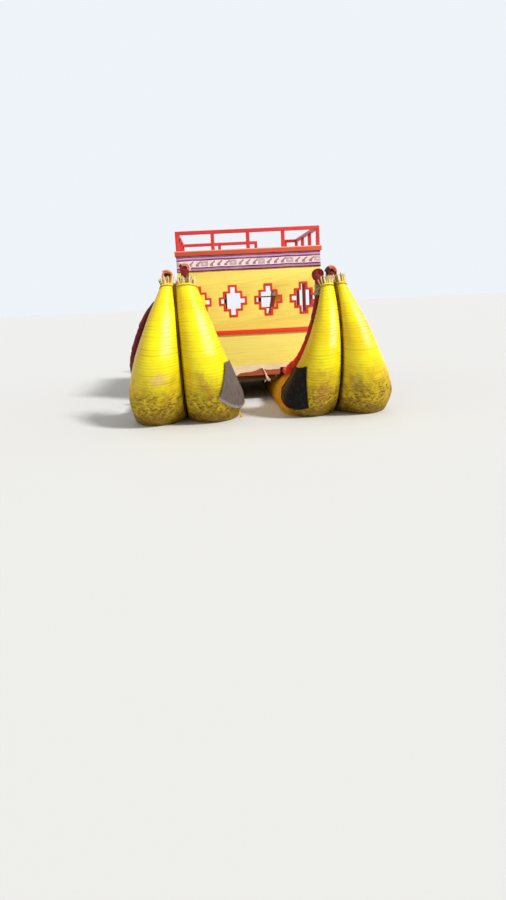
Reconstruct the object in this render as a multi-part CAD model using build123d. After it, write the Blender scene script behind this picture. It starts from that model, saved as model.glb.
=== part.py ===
"""Two-hulled totora-reed boat with a two-storey cabin.

Millimetres, +Z up. The origin is amidships on the centreline, at the water's surface.
+Y points to the bow and +X to starboard. "end" is -1 at the stern and +1 at the bow,
"hull" is -1 to port and +1 to starboard, and "side" is -1 towards port and +1 towards
starboard of a hull's own seam.
"""

import os
from math import acos, asin, cos, degrees, radians, sin, sqrt, tan

from build123d import *

os.makedirs("parts", exist_ok=True)

# Hulls: two reed bundles side by side in each
hull_seam_x = 1320.0        # from the centreline to the seam between a hull's two bundles
bundle_radius = 475.0
bundle_axis_z = 80.0        # height of the straight axes above the water
straight_length = 5200.0
sweep_radius = 1600.0       # arc that each axis follows up to its tip
taper_start_z = 450.0       # a bundle keeps its full radius up to this height
tip_splay = 13.0            # how far the tips of one hull part beyond touching
tip_lean = {-1: -25.0, 1: 115.0}    # by hull: how far a pair's tips lean towards the centreline

# Cloth-covered edge roll along each bundle
roll_radius = 68.0
roll_lean_peak = 0.8        # share of the sweep up to which an edge roll turns round its bundle
knob_radius = 92.0          # the rolled-up end of the cloth
seam_roll_radius = 18.0     # filler roll stuffed in the groove under each hull

# Cut reed ends that stand out of each tip
tuft_length = 125.0
tuft_foot = 0.80            # shares of the tip's radius, at the tuft's foot and top
tuft_top = 0.74

# Round cross beams, laid in notches in the bundles' crowns
beam_radius = 60.0
beam_axis_z = 450.0
beam_half_length = 2300.0
beam_end_length = 170.0     # trimmed thinner, for a mooring loop
beam_end_radius = 52.0
beam_count = 5
first_beam_y = -1500.0
beam_inset = 500.0          # from the foremost beam to where the bow's sweep starts

# Lower deck
bearer_width = 60.0
bearer_height = 165.0
inner_bearer_x = 320.0
plank_thickness = 30.0
plank_width = 190.0
plank_gap = 4.0
foredeck_length = 900.0

# Cabin
cabin_width = 2770.0
cabin_length = 3300.0
rear_face_y = -1670.0
wall_thickness = 30.0
wall_foot_z = 648.0
sill_height = 78.0
end_board_half = 525.0      # board across the platform's end, between the inner edge rolls
post_size = 70.0
side_bays = 3
batten_z = 1380.0
batten_height = 85.0
batten_proud = 30.0
header_height = 100.0
upper_floor_z = 2568.0      # underside of the upper deck's planks
joist_width = 60.0
joist_count = 4
low_panel_thickness = 25.0
low_rail_height = 70.0
low_rail_width = 60.0
door_width = 760.0

# Stepped-cross windows in the rear wall
window_z = 1985.0
window_count = 4
window_frame_width = 40.0
window_frame_proud = 10.0
# columns: half width and height of each tier, from the top
window_tiers = [(84, 118), (185, 108), (272, 158), (185, 108), (84, 118)]

# Parapet, textile band and railing of the upper deck
parapet_thickness = 25.0
band_height = 295.0
band_thickness = 4.0
fascia_height = 72.0
fascia_thickness = 30.0
cap_width = 90.0
cap_thickness = 22.0
cap_overhang = 4.0          # past the fascia's face
rail_top_z = 3322.0
rail_size = 68.0
rear_rail_bays = 4
gate_width = 640.0          # gap in the front railing over the ladder, to starboard of the doorway

# Benches
bench_depth = 380.0
bench_board = 30.0
lower_seat_height = 420.0
upper_seat_height = 310.0
bench_leg = 60.0
bench_legs = 3

# Ladder from the foredeck to the upper deck
ladder_foot = 560.0         # from the cabin's front to the foot
stile_depth = 90.0
stile_width = 34.0
tread_thickness = 28.0
tread_depth = 130.0
tread_count = 6

# Chafing patches at the stern, wrapped on the inner bundles
patch_thickness = 9.0

# Clearances
fit = 0.3                   # between pieces that bear on each other
seam_fit = 0.6              # between a seam roll and the bundles beside it
roll_ease = 34.0            # air between an edge roll and its bundle in the sweep
corner_share = 0.45         # of the shorter run beside a corner, taken up by its bend
slack = 2.0                 # where boards are only nailed edge to edge
over = 1.0                  # how far a cutting block runs past what it cuts

# Worked out from the sizes above
beam_pitch = (straight_length / 2 - beam_inset - first_beam_y) / (beam_count - 1)
window_pitch = cabin_width / window_count
floor_z = beam_axis_z + beam_radius + bearer_height + plank_thickness
front_face_y = rear_face_y + cabin_length
half_width = cabin_width / 2
inside_y = rear_face_y + wall_thickness
post_top_z = upper_floor_z - header_height
deck_top_z = upper_floor_z + plank_thickness
band_top_z = upper_floor_z + band_height
cap_z = band_top_z + fascia_height
rail_z = rail_top_z - rail_size
gate_x = (door_width + rail_size + gate_width) / 2
gate_start_x, gate_end_x = gate_x - gate_width / 2, gate_x + gate_width / 2
rail_post_base_z = cap_z + cap_thickness

# columns: name, hull, side, tip height, tip radius, fullness (1 tapers evenly, more bulges),
# then for its edge roll the lean up the sweep and the lean at the tip, in degrees from the
# deck side, and how far the roll runs on past the tip
bundles = [
    ("port_outer", -1, -1, 2290, 101, 1.39, 55, 3, 250),
    ("port_inner", -1, 1, 2260, 170, 1.09, 18, -3, 420),
    ("starboard_inner", 1, -1, 2185, 103, 0.82, 30, 30, 240),
    ("starboard_outer", 1, 1, 2205, 82, 1.00, 0, -34, 250),
]
# shares of the sweep where a cross-section is drawn
sweep_stations = [0.0, 0.1, 0.2, 0.34, 0.5, 0.66, 0.82, 1.0]
blend_length = 300.0        # last stretch of the straight part, blended into the sweep


def sweep_angle(tip_z):
    """Angle of the arc that lifts an axis from the straight part to its tip."""
    return 90 + degrees(asin((tip_z - bundle_axis_z - sweep_radius) / sweep_radius))


def axis_point(angle, end):
    """Height and place along the boat of a bundle's axis, angle degrees up its sweep."""
    y = end * (straight_length / 2 + sweep_radius * sin(radians(angle)))
    return y, bundle_axis_z + sweep_radius * (1 - cos(radians(angle)))


def radius_at(z, tip_z, tip_radius, fullness):
    """Full radius up to taper_start_z, and down to the tip's radius from there."""
    rise = max(0.0, (z - taper_start_z) / (tip_z - taper_start_z))
    return bundle_radius - (bundle_radius - tip_radius) * min(rise, 1.0) ** fullness


def stations(end, tip_z, tip_radius, fullness):
    """From the straight part to one tip: (share, angle, y, z, radius) of each cross-section."""
    rows = [(0.0, 0.0, end * (straight_length / 2 - blend_length), bundle_axis_z, bundle_radius)]
    for share in sweep_stations:
        angle = share * sweep_angle(tip_z)
        y, z = axis_point(angle, end)
        rows.append((share, angle, y, z, radius_at(z, tip_z, tip_radius, fullness)))
    return rows


def straight_middle(radius, x, z):
    """The straight part between the two blends, as a plain round bar."""
    return Pos(x, 0, z) * Cylinder(radius, straight_length - 2 * blend_length, rotation=(90, 0, 0))


def cross_plane(x, y, z, end, angle):
    """Plane across the axis, its normal towards the bow."""
    normal = (0, cos(radians(angle)), end * sin(radians(angle)))
    return Plane(origin=(x, y, z), x_dir=(1, 0, 0), z_dir=normal)


def deckward(end, angle):
    """Direction from a bundle's axis towards the deck side of its curve."""
    return 0, -end * sin(radians(angle)), cos(radians(angle))


def tipward(end, angle):
    """Direction along a bundle's axis towards its tip."""
    return Vector(0, end * cos(radians(angle)), sin(radians(angle)))


def seam_x(hull, share):
    """Plane between a hull's two bundles, which leans sideways towards the tips."""
    return hull * (hull_seam_x - tip_lean[hull] * share ** 3)


def bundle_x(hull, side, radius, share):
    """A bundle lies against its neighbour along the seam, and parts from it at the tip."""
    return seam_x(hull, share) + side * (radius + fit / 2 + tip_splay * share ** 3)


roll_rise = beam_axis_z + beam_radius + roll_radius + fit - bundle_axis_z
roll_lean_straight = degrees(acos(roll_rise / (bundle_radius + roll_radius + fit)))


def bundle_end(end, hull, side, tip_z, tip_radius, fullness, outset=0.0):
    """One upswept end of a bundle, grown by outset."""
    sections = []
    for share, angle, y, z, radius in stations(end, tip_z, tip_radius, fullness):
        x = bundle_x(hull, side, radius, share)
        sections.append(cross_plane(x, y, z, end, angle) * Circle(radius + outset))
    return loft(sections)


def roll_lean(share, up_sweep, at_tip):
    """Lean of an edge roll from the deck side: it turns to up_sweep, then near the tip to at_tip."""
    rise = sin(radians(90 * min(1.0, share / roll_lean_peak))) ** 2
    fall = max(0.0, (share - roll_lean_peak) / (1 - roll_lean_peak)) ** 2
    lean = roll_lean_straight + (up_sweep - roll_lean_straight) * rise
    return lean - (up_sweep - at_tip) * fall


def make_bundle(hull, side, tip_z, tip_radius, fullness):
    body = straight_middle(bundle_radius, bundle_x(hull, side, bundle_radius, 0), bundle_axis_z)
    upward = (Align.CENTER, Align.CENTER, Align.MIN)
    for n in range(beam_count):
        notch = Cylinder(beam_radius + fit, 2 * beam_half_length, rotation=(0, 90, 0))
        slot = Box(2 * beam_half_length, 2 * (beam_radius + fit), bundle_radius, align=upward)
        body -= Pos(0, first_beam_y + n * beam_pitch, beam_axis_z) * (notch + slot)
    for end in (-1, 1):
        body += bundle_end(end, hull, side, tip_z, tip_radius, fullness)
    return body


def roll_route(end, hull, side, tip_z, tip_radius, fullness, up_sweep, at_tip, overrun):
    """Points of an edge roll's axis, from the straight part to the knob above one tip."""
    points = []
    for share, angle, y, z, radius in stations(end, tip_z, tip_radius, fullness)[1:]:
        lean = radians(roll_lean(share, up_sweep, at_tip))
        reach = radius + roll_radius + fit + roll_ease * min(1.0, share / sweep_stations[1])
        x = bundle_x(hull, side, radius, share) + side * reach * sin(lean)
        _, dy, dz = deckward(end, angle)
        points.append(Vector(x, y + dy * reach * cos(lean), z + dz * reach * cos(lean)))
    return points + [points[-1] + tipward(end, angle) * overrun]


def make_edge_roll(*shape):
    """Round roll that lies on its bundle's shoulder and ends in a knob above each tip."""
    ends = [roll_route(end, *shape) for end in (-1, 1)]
    route = ends[0][::-1] + ends[1]
    runs = [(b - a) for a, b in zip(route[:-1], route[1:])]
    bends = [corner_share * min(a.length, b.length) / tan(radians(a.get_angle(b)) / 2)
             for a, b in zip(runs[:-1], runs[1:])]
    path = FilletPolyline(*route, radius=bends)
    roll = sweep(Plane(origin=path @ 0, z_dir=path % 0) * Circle(roll_radius), path=path)
    for tip in (route[0], route[-1]):
        roll += Pos(tip) * Sphere(knob_radius)
    return roll


def make_seam_roll(hull):
    """Filler in the groove between a hull's two bundles, on the water side."""
    tapers = [row[3:6] for row in bundles if row[1] == hull]
    away = groove_depth(bundle_radius)
    roll = straight_middle(seam_roll_radius, hull * hull_seam_x, bundle_axis_z - away)
    for end in (-1, 1):
        sections = []
        for share, angle, y, z, _ in stations(end, *min(tapers)):
            away = groove_depth(max(radius_at(z, *taper) for taper in tapers))
            _, dy, dz = deckward(end, angle)
            plane = cross_plane(seam_x(hull, share), y - dy * away, z - dz * away, end, angle)
            sections.append(plane * Circle(seam_roll_radius))
        roll += loft(sections)
    return roll


def groove_depth(radius):
    """From a pair's common axis height to a filler that touches both bundles."""
    return sqrt((radius + seam_roll_radius + seam_fit) ** 2 - radius ** 2)


def make_tufts(end):
    """The cut reed ends of all four tips at one end of the boat."""
    solids = []
    for _, hull, side, tip_z, tip_radius, *_ in bundles:
        angle = sweep_angle(tip_z)
        y, z = axis_point(angle, end)
        x = bundle_x(hull, side, tip_radius, 1.0)
        base = cross_plane(x, y, z, end, angle)
        top = base.offset(end * tuft_length)
        solids.append(loft([base * Circle(tip_radius * tuft_foot), top * Circle(tip_radius * tuft_top)]))
    return solids


def board(x0, x1, y0, y1, z0, z1):
    """Box between two corners."""
    return Pos((x0 + x1) / 2, (y0 + y1) / 2, (z0 + z1) / 2) * Box(x1 - x0, y1 - y0, z1 - z0)


def planks_across(x_half, y_start, y_end, z_base):
    """Planks that run across the boat, with equal widths that fill the length."""
    count = round((y_end - y_start) / (plank_width + plank_gap))
    step = (y_end - y_start + plank_gap) / count
    return [board(-x_half, x_half, y_start + n * step, y_start + (n + 1) * step - plank_gap,
                  z_base, z_base + plank_thickness) for n in range(count)]


def stepped_cross(inset=0.0):
    """Outline of a stepped cross, drawn inwards by inset, centred on its middle."""
    top = sum(height for _, height in window_tiers) / 2
    right = []
    level = top
    for n, (half, height) in enumerate(window_tiers):
        upper = n == 0 or window_tiers[n - 1][0] < half
        lower = n == len(window_tiers) - 1 or window_tiers[n + 1][0] < half
        right.append((half - inset, level - (inset if upper else -inset)))
        level -= height
        right.append((half - inset, level + (inset if lower else -inset)))
    left = [(-x, z) for x, z in reversed(right)]
    return make_face(Plane.XZ * Polyline(*right, *left, close=True))


def window_places():
    return [(n - (window_count - 1) / 2) * window_pitch for n in range(window_count)]


def spaced(first, last, count):
    return [first + (last - first) * n / (count - 1) for n in range(count)]


def save(name, *solids):
    flat = [s for group in solids for s in (group if isinstance(group, list) else [group])]
    shape = flat[0] if len(flat) == 1 else Compound(children=flat)
    export_step(shape, f"parts/{name}.step")


# Hulls
for name, *row in bundles:
    save(f"{name}_bundle", make_bundle(*row[:5]))
    save(f"{name}_edge_roll", make_edge_roll(*row))
for name, hull in (("port", -1), ("starboard", 1)):
    save(f"{name}_seam_roll", make_seam_roll(hull))
for name, end in (("stern", -1), ("bow", 1)):
    save(f"{name}_tufts", make_tufts(end))

# Chafing patches, as seen from astern: columns are x towards the centreline from the seam, and z
tarp_outline = [(563, 514), (696, 1073), (1250, 1073), (1250, 180), (947, 252)]
rubber_outline = [(562, 214), (589, 912), (712, 885), (847, 639), (955, 415), (937, 230)]
patch_wrap = 90.0           # how far a patch reaches past the bundle's side, towards the deck


def make_patch(hull, outline):
    """Sheet laid on the centreline side of a hull's inner bundle at the stern."""
    shape = [row[1:6] for row in bundles if row[1] == hull and row[2] == -hull][0]
    low, high = min(z for _, z in outline), max(z for _, z in outline)
    cut = make_face(Plane.XZ * Polyline(*[(hull * (hull_seam_x - x), z) for x, z in outline], close=True))
    window = Pos(0, -straight_length, 0) * extrude(cut, straight_length / 2, dir=(0, 1, 0))
    edge = [(axis_place(z) + patch_wrap, z) for z in (low, high)]
    back = [(-straight_length, z) for z in (high, low)]
    side_cut = make_face(Plane.YZ * Polyline(back[1], *edge, back[0], close=True))
    sideways = extrude(side_cut, hull_seam_x * 2, both=True)
    cover = bundle_end(-1, *shape, fit + patch_thickness) & window & sideways
    return cover - bundle_end(-1, *shape, fit)


def axis_place(z):
    """Place along the boat where a stern bundle's axis is at height z."""
    angle = degrees(acos(1 - (z - bundle_axis_z) / sweep_radius))
    return axis_point(angle, -1)[0]


save("port_tarp_patch", make_patch(-1, tarp_outline))
save("starboard_rubber_patch", make_patch(1, rubber_outline))

# Cross beams, bearers and lower deck
beam_places = [first_beam_y + n * beam_pitch for n in range(beam_count)]


def cross_beam(y):
    """Round pole with a thinner trimmed stretch at each end."""
    lying = Pos(0, y, beam_axis_z) * Rotation(0, 90, 0)
    return lying * (Cylinder(beam_radius, 2 * (beam_half_length - beam_end_length))
                    + Cylinder(beam_end_radius, 2 * beam_half_length))


save("cross_beams", [cross_beam(y) for y in beam_places])
beam_top_z = beam_axis_z + beam_radius
foredeck_end_y = front_face_y + foredeck_length
bearer_x = [-half_width + post_size / 2, -inner_bearer_x, inner_bearer_x, half_width - post_size / 2]
save("deck_bearers", [board(x - bearer_width / 2, x + bearer_width / 2, inside_y + fit, foredeck_end_y,
                            beam_top_z + fit, beam_top_z + bearer_height) for x in bearer_x])
plank_base_z = beam_top_z + bearer_height
save("cabin_floor", planks_across(half_width, inside_y + fit, front_face_y, plank_base_z))
save("foredeck", planks_across(half_width, front_face_y + plank_gap, foredeck_end_y, plank_base_z))

# Rear wall, split behind the batten
wall = (rear_face_y, rear_face_y + wall_thickness)
sill_top_z = wall_foot_z + sill_height
end_board_x = (-end_board_half, end_board_half)
save("deck_end_board", board(*end_board_x, *wall, beam_top_z + fit, wall_foot_z))
save("rear_sill", board(-half_width, half_width, *wall, wall_foot_z, sill_top_z))
save("rear_wall_lower", board(-half_width, half_width, *wall, sill_top_z, batten_z))
upper_wall = board(-half_width, half_width, *wall, batten_z, upper_floor_z)
frames = []
for x in window_places():
    at_window = Pos(x, rear_face_y - window_frame_proud, window_z)
    depth = wall_thickness + 2 * window_frame_proud
    upper_wall -= at_window * extrude(stepped_cross(-fit), depth, dir=(0, 1, 0))
    ring = extrude(stepped_cross(), depth, dir=(0, 1, 0))
    ring -= extrude(stepped_cross(window_frame_width), depth, dir=(0, 1, 0))
    frames.append(at_window * ring)
save("rear_wall_upper", upper_wall)
save("window_frames", frames)
save("rear_batten", board(-half_width, half_width, rear_face_y - batten_proud, rear_face_y,
                          batten_z - batten_height / 2, batten_z + batten_height / 2))

# Posts: at the corners, along the sides and beside the doorway
post_x = half_width - post_size / 2
post_y = spaced(inside_y + post_size / 2, front_face_y - post_size / 2, side_bays + 1)
door_post_x = door_width / 2 + post_size / 2


def post(x, y):
    half = post_size / 2
    return board(x - half, x + half, y - half, y + half, floor_z, post_top_z)


save("corner_posts", [post(s * post_x, y) for s in (-1, 1) for y in (post_y[0], post_y[-1])])
save("side_posts", [post(s * post_x, y) for s in (-1, 1) for y in post_y[1:-1]])
save("door_posts", [post(s * door_post_x, post_y[-1]) for s in (-1, 1)])

# Low panels and their rails, between the posts of the sides and the front
low_panel_top_z = batten_z - batten_height / 2
low_rail_top_z = low_panel_top_z + low_rail_height
panel_half, low_rail_half = low_panel_thickness / 2, low_rail_width / 2
panel_z, low_rail_z = (floor_z, low_panel_top_z), (low_panel_top_z, low_rail_top_z)
for name, s in (("port", -1), ("starboard", 1)):
    panels, rails = [], []
    for y0, y1 in zip(post_y[:-1], post_y[1:]):
        y0, y1 = y0 + post_size / 2 + fit, y1 - post_size / 2 - fit
        x = s * post_x
        panels.append(board(x - panel_half, x + panel_half, y0, y1, *panel_z))
        rails.append(board(x - low_rail_half, x + low_rail_half, y0, y1, *low_rail_z))
    save(f"{name}_side_panels", panels)
    save(f"{name}_side_rails", rails)
front_panels, front_rails = [], []
for s in (-1, 1):
    x0, x1 = sorted((s * (door_post_x + post_size / 2 + fit), s * (post_x - post_size / 2 - fit)))
    y = post_y[-1]
    front_panels.append(board(x0, x1, y - panel_half, y + panel_half, *panel_z))
    front_rails.append(board(x0, x1, y - low_rail_half, y + low_rail_half, *low_rail_z))
save("front_panels", front_panels)
save("front_rails", front_rails)

# Headers and joists on the posts, and the upper deck on them
header_y = (inside_y, front_face_y)
header_z = (post_top_z, upper_floor_z)
save("side_headers", [board(*sorted((s * (half_width - post_size), s * half_width)), *header_y, *header_z)
                      for s in (-1, 1)])
header_half = half_width - post_size - fit
save("end_headers", [board(-header_half, header_half, y, y + post_size, *header_z)
                     for y in (inside_y, front_face_y - post_size)])
joist_y = spaced(inside_y + post_size / 2, front_face_y - post_size / 2, joist_count + 2)[1:-1]
save("upper_joists", [board(-header_half, header_half, y - joist_width / 2, y + joist_width / 2, *header_z)
                      for y in joist_y])
deck_half = half_width - parapet_thickness - fit
save("upper_deck", planks_across(deck_half, rear_face_y + parapet_thickness + fit,
                                 front_face_y - parapet_thickness - fit, upper_floor_z))

# Parapet: rear, sides and the front on both sides of the gate
parapet_z = (upper_floor_z, cap_z)
save("rear_parapet", board(-half_width, half_width, rear_face_y, rear_face_y + parapet_thickness, *parapet_z))
side_y = (rear_face_y + parapet_thickness + fit, front_face_y)
parapet_x = (half_width - parapet_thickness, half_width)
save("side_parapets", [board(*sorted((s * parapet_x[0], s * parapet_x[1])), *side_y, *parapet_z)
                       for s in (-1, 1)])
front_half = half_width - parapet_thickness - fit
save("front_parapets", [board(x0, x1, front_face_y - parapet_thickness, front_face_y, *parapet_z)
                        for x0, x1 in ((-front_half, gate_start_x), (gate_end_x, front_half))])


def band(inner, outer, z0, z1):
    """U-shaped strip round the rear and both sides, from inner to outer beyond the faces."""
    out, into = half_width + outer, half_width + inner
    whole = board(-out, out, rear_face_y - outer, front_face_y, z0, z1)
    return whole - board(-into, into, rear_face_y - inner, front_face_y + over, z0 - over, z1 + over)


save("textile_band", band(fit, fit + band_thickness, upper_floor_z, band_top_z - fit))
fascia = band(0, fascia_thickness, band_top_z, cap_z)
fascia_half = half_width + fascia_thickness
front_fascia = [board(x0, x1, front_face_y, front_face_y + fascia_thickness, band_top_z, cap_z)
                for x0, x1 in ((-fascia_half, gate_start_x), (gate_end_x, fascia_half))]
save("fascia_boards", fascia + front_fascia[0] + front_fascia[1])


def ring(outset, width, z0, z1):
    """Frame round the upper deck, open at the gate."""
    x, y0, y1 = half_width + outset, rear_face_y - outset, front_face_y + outset
    cut_z = (z0 - over, z1 + over)
    frame = board(-x, x, y0, y1, z0, z1) - board(width - x, x - width, y0 + width, y1 - width, *cut_z)
    return frame - board(gate_start_x, gate_end_x, y1 - width - over, y1 + over, *cut_z)


save("parapet_cap", ring(fascia_thickness + cap_overhang, cap_width, cap_z, cap_z + cap_thickness))

# Railing on the cap
rail_half = half_width - rail_size / 2
rail_y = (rear_face_y + rail_size / 2, front_face_y - rail_size / 2)


def rail_post(x, y):
    half = rail_size / 2
    return board(x - half, x + half, y - half, y + half, rail_post_base_z, rail_z)


save("rear_rail_posts", [rail_post(x, rail_y[0]) for x in spaced(-rail_half, rail_half, rear_rail_bays + 1)])
save("side_rail_posts", [rail_post(s * rail_half, y)
                         for s in (-1, 1) for y in spaced(*rail_y, side_bays + 1)[1:]])
gate_post_x = (gate_start_x - rail_size / 2, gate_end_x + rail_size / 2)
front_post_x = (gate_post_x[0] - rail_half) / 2
save("front_rail_posts", [rail_post(x, rail_y[1]) for x in (front_post_x, *gate_post_x)])
save("top_rail", ring(0, rail_size, rail_z, rail_top_z))


# Benches: a seat board on legs
def bench(x0, x1, y0, y1, base_z, height):
    seat_z = base_z + height - bench_board
    seat = board(x0, x1, y0, y1, seat_z, base_z + height)
    for n in range(bench_legs):
        share = n / (bench_legs - 1)
        if x1 - x0 > y1 - y0:
            x = x0 + share * (x1 - x0 - bench_leg)
            seat += board(x, x + bench_leg, y0 + bench_leg, y1 - bench_leg, base_z, seat_z)
        else:
            y = y0 + share * (y1 - y0 - bench_leg)
            seat += board(x0 + bench_leg, x1 - bench_leg, y, y + bench_leg, base_z, seat_z)
    return seat


lower_bench_y = (inside_y + post_size + slack, front_face_y - post_size - slack)
bench_side = half_width + fascia_thickness + cap_overhang - cap_width - slack
rear_bench_y = rear_face_y + half_width - bench_side
upper_bench_y = (rear_bench_y + bench_depth + slack, front_face_y - bench_depth)
for name, s in (("port", -1), ("starboard", 1)):
    lower_side = half_width - post_size - slack
    x0, x1 = sorted((s * lower_side, s * (lower_side - bench_depth)))
    save(f"{name}_cabin_bench", bench(x0, x1, *lower_bench_y, floor_z, lower_seat_height))
    x0, x1 = sorted((s * bench_side, s * (bench_side - bench_depth)))
    save(f"{name}_upper_bench", bench(x0, x1, *upper_bench_y, deck_top_z, upper_seat_height))
save("rear_upper_bench", bench(-bench_side, bench_side, rear_bench_y,
                               rear_bench_y + bench_depth, deck_top_z, upper_seat_height))

# Ladder: its stiles lean on the front header, its foot stands on the foredeck
ladder_y = front_face_y + ladder_foot
slope = (upper_floor_z - floor_z) / (ladder_foot + stile_depth)
stile_outline = [
    (ladder_y, floor_z),
    (ladder_y + stile_depth, floor_z),
    (front_face_y + fit, upper_floor_z),
    (front_face_y + fit, floor_z + slope * (ladder_foot - fit)),
]
stile_face = make_face(Plane.YZ * Polyline(*stile_outline, close=True))
ladder_x = (gate_start_x + slack, gate_end_x - slack)
ladder = Pos(ladder_x[0], 0, 0) * extrude(stile_face, stile_width, dir=(1, 0, 0))
ladder += Pos(ladder_x[1] - stile_width, 0, 0) * extrude(stile_face, stile_width, dir=(1, 0, 0))
for n in range(1, tread_count + 1):
    z = floor_z + n * (upper_floor_z - floor_z) / (tread_count + 1)
    y = ladder_y + stile_depth / 2 - (z - floor_z) / slope
    tread_back = max(y - tread_depth / 2, front_face_y + fit)
    ladder += board(*ladder_x, tread_back, y + tread_depth / 2, z - tread_thickness, z)
save("ladder", ladder)
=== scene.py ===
# %% [markdown]
# # A two-hulled reed boat
# The boat is four long bundles of totora reed, bound tight and bent up at both ends. They lie in two
# pairs, round beams join the pairs, and the beams carry a painted cabin with a railed upper deck.
# The hard parts already have their real shape in the frame. This lesson gives them their finish and
# makes what cloth, cord and cut reed look like, as surfaces worked out from formulas.

# %% Frame and tools
import math
from collections import namedtuple

import bmesh
import bpy
import numpy as np
from mathutils import Matrix, Vector


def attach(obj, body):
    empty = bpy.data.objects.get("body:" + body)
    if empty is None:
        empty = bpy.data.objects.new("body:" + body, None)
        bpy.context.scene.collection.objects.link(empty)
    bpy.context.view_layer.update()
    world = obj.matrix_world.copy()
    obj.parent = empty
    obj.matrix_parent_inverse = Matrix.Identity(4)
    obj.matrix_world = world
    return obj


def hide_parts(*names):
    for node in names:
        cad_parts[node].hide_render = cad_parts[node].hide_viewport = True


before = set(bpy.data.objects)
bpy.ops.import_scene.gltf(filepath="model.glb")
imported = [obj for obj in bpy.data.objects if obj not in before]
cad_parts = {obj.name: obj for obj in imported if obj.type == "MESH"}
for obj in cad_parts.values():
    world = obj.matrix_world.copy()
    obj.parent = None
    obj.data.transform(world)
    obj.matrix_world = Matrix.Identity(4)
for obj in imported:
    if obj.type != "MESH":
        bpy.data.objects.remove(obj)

scene = bpy.context.scene
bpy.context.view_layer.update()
full_turn = 2 * math.pi
print("frame has", len(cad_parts), "pieces")

# %% [markdown]
# ## Camera
# The boat is seen from astern, a little to port, from about two metres above the water. The camera
# is placed by its height and distance, then turned by a yaw, a pitch down and a slight roll. A
# 27 mm lens on a 36 mm frame gives the wide view of a pocket camera.

# %% Camera
camera_place = Vector((-0.8136, -15.160, 2.10))
camera_yaw = math.radians(-3.02)      # towards starboard
camera_pitch = math.radians(12.98)    # down
camera_roll = math.radians(2.84)
camera_lens = 27.04
sensor_width = 36.0
far_clip = 500.0


def camera_matrix(place, yaw, pitch, roll):
    """World matrix from a place and three turns. Blender's camera looks along its own -Z."""
    level = Vector((math.cos(yaw), math.sin(yaw), 0.0))
    forward = Vector((-math.sin(yaw), math.cos(yaw), 0.0))
    ahead = math.cos(pitch) * forward - Vector((0.0, 0.0, math.sin(pitch)))
    upright = level.cross(ahead)
    right = math.cos(roll) * level - math.sin(roll) * upright
    up = math.sin(roll) * level + math.cos(roll) * upright
    columns = [right, up, -ahead]
    turned = Matrix([[c[row] for c in columns] for row in range(3)])
    return Matrix.Translation(place) @ turned.to_4x4()


camera_data = bpy.data.cameras.new("camera")
camera_data.lens = camera_lens
camera_data.sensor_width = sensor_width
camera_data.clip_end = far_clip
camera = bpy.data.objects.new("camera", camera_data)
camera.matrix_world = camera_matrix(camera_place, camera_yaw, camera_pitch, camera_roll)
scene.collection.objects.link(camera)
scene.camera = camera
print("camera at", tuple(round(x, 2) for x in camera_place))

# %% [markdown]
# ## Floor and light
# The floor lies at the waterline, so the part of the hulls that floats under water is hidden below
# it. One soft sun high over the camera's right shoulder gives the bundles their roundness, and the
# sky fills the shadows. Rays from the camera see a pale sky, which adds no light to the boat.

# %% Floor and light
floor_half = 120.0
floor_colour = (0.70, 0.72, 0.74, 1.0)
floor_roughness = 0.85
warm_light = (1.0, 0.97, 0.92)
sky_light = 0.54
sky_seen = (0.86, 0.90, 0.95, 1.0)
sun_strength = 3.05
sun_angle = math.radians(9)
sun_from = Vector((0.70, -0.64, 0.92))


def node(tree, kind, inputs=None, **settings):
    """Adds a shader node. inputs maps a socket's name or number to a value or to another socket.

    The settings come first, because they decide which sockets a node has.
    """
    made = tree.nodes.new(kind)
    for name, value in settings.items():
        setattr(made, name, value)
    for name, value in (inputs or {}).items():
        if isinstance(value, bpy.types.NodeSocket):
            tree.links.new(value, made.inputs[name])
        else:
            made.inputs[name].default_value = value
    return made


def make_floor():
    mesh = bpy.data.meshes.new("floor")
    corners = [(-1, -1), (1, -1), (1, 1), (-1, 1)]
    mesh.from_pydata([(x * floor_half, y * floor_half, 0.0) for x, y in corners], [], [(0, 1, 2, 3)])
    floor = bpy.data.objects.new("floor", mesh)
    material = bpy.data.materials.new("floor")
    material.use_nodes = True
    shader = material.node_tree.nodes["Principled BSDF"]
    shader.inputs["Base Color"].default_value = floor_colour
    shader.inputs["Roughness"].default_value = floor_roughness
    mesh.materials.append(material)
    scene.collection.objects.link(floor)


def make_light():
    world = bpy.data.worlds.new("sky")
    world.use_nodes = True
    tree = world.node_tree
    background = tree.nodes["Background"]
    background.inputs["Color"].default_value = (*warm_light, 1.0)
    background.inputs["Strength"].default_value = sky_light
    seen = node(tree, "ShaderNodeBackground", {"Color": sky_seen, "Strength": 1.0})
    path = node(tree, "ShaderNodeLightPath")
    rays = {0: path.outputs["Is Camera Ray"], 1: path.outputs["Is Glossy Ray"]}
    direct = node(tree, "ShaderNodeMath", rays, operation="MAXIMUM")
    skies = {0: direct.outputs[0], 1: background.outputs[0], 2: seen.outputs[0]}
    both = node(tree, "ShaderNodeMixShader", skies)
    tree.links.new(both.outputs[0], tree.nodes["World Output"].inputs["Surface"])
    scene.world = world
    sun = bpy.data.lights.new("sun", "SUN")
    sun.energy = sun_strength
    sun.angle = sun_angle
    sun.color = warm_light
    lamp = bpy.data.objects.new("sun", sun)
    lamp.rotation_mode = "QUATERNION"
    lamp.rotation_quaternion = sun_from.to_track_quat("Z", "Y")
    scene.collection.objects.link(lamp)


make_floor()
make_light()
scene.view_settings.view_transform = "Standard"
print("floor, sky and sun are set")

# %% [markdown]
# ## From a grid of points to a piece
# Every new surface here is an array of points, rows by columns. A tube is a grid whose last column
# joins the first, and its two open ends are closed with a fan of triangles. One function turns such
# an array into a mesh, with whole arrays handed over at once, and a UV map in metres where a
# pattern has to follow the surface.

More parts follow.
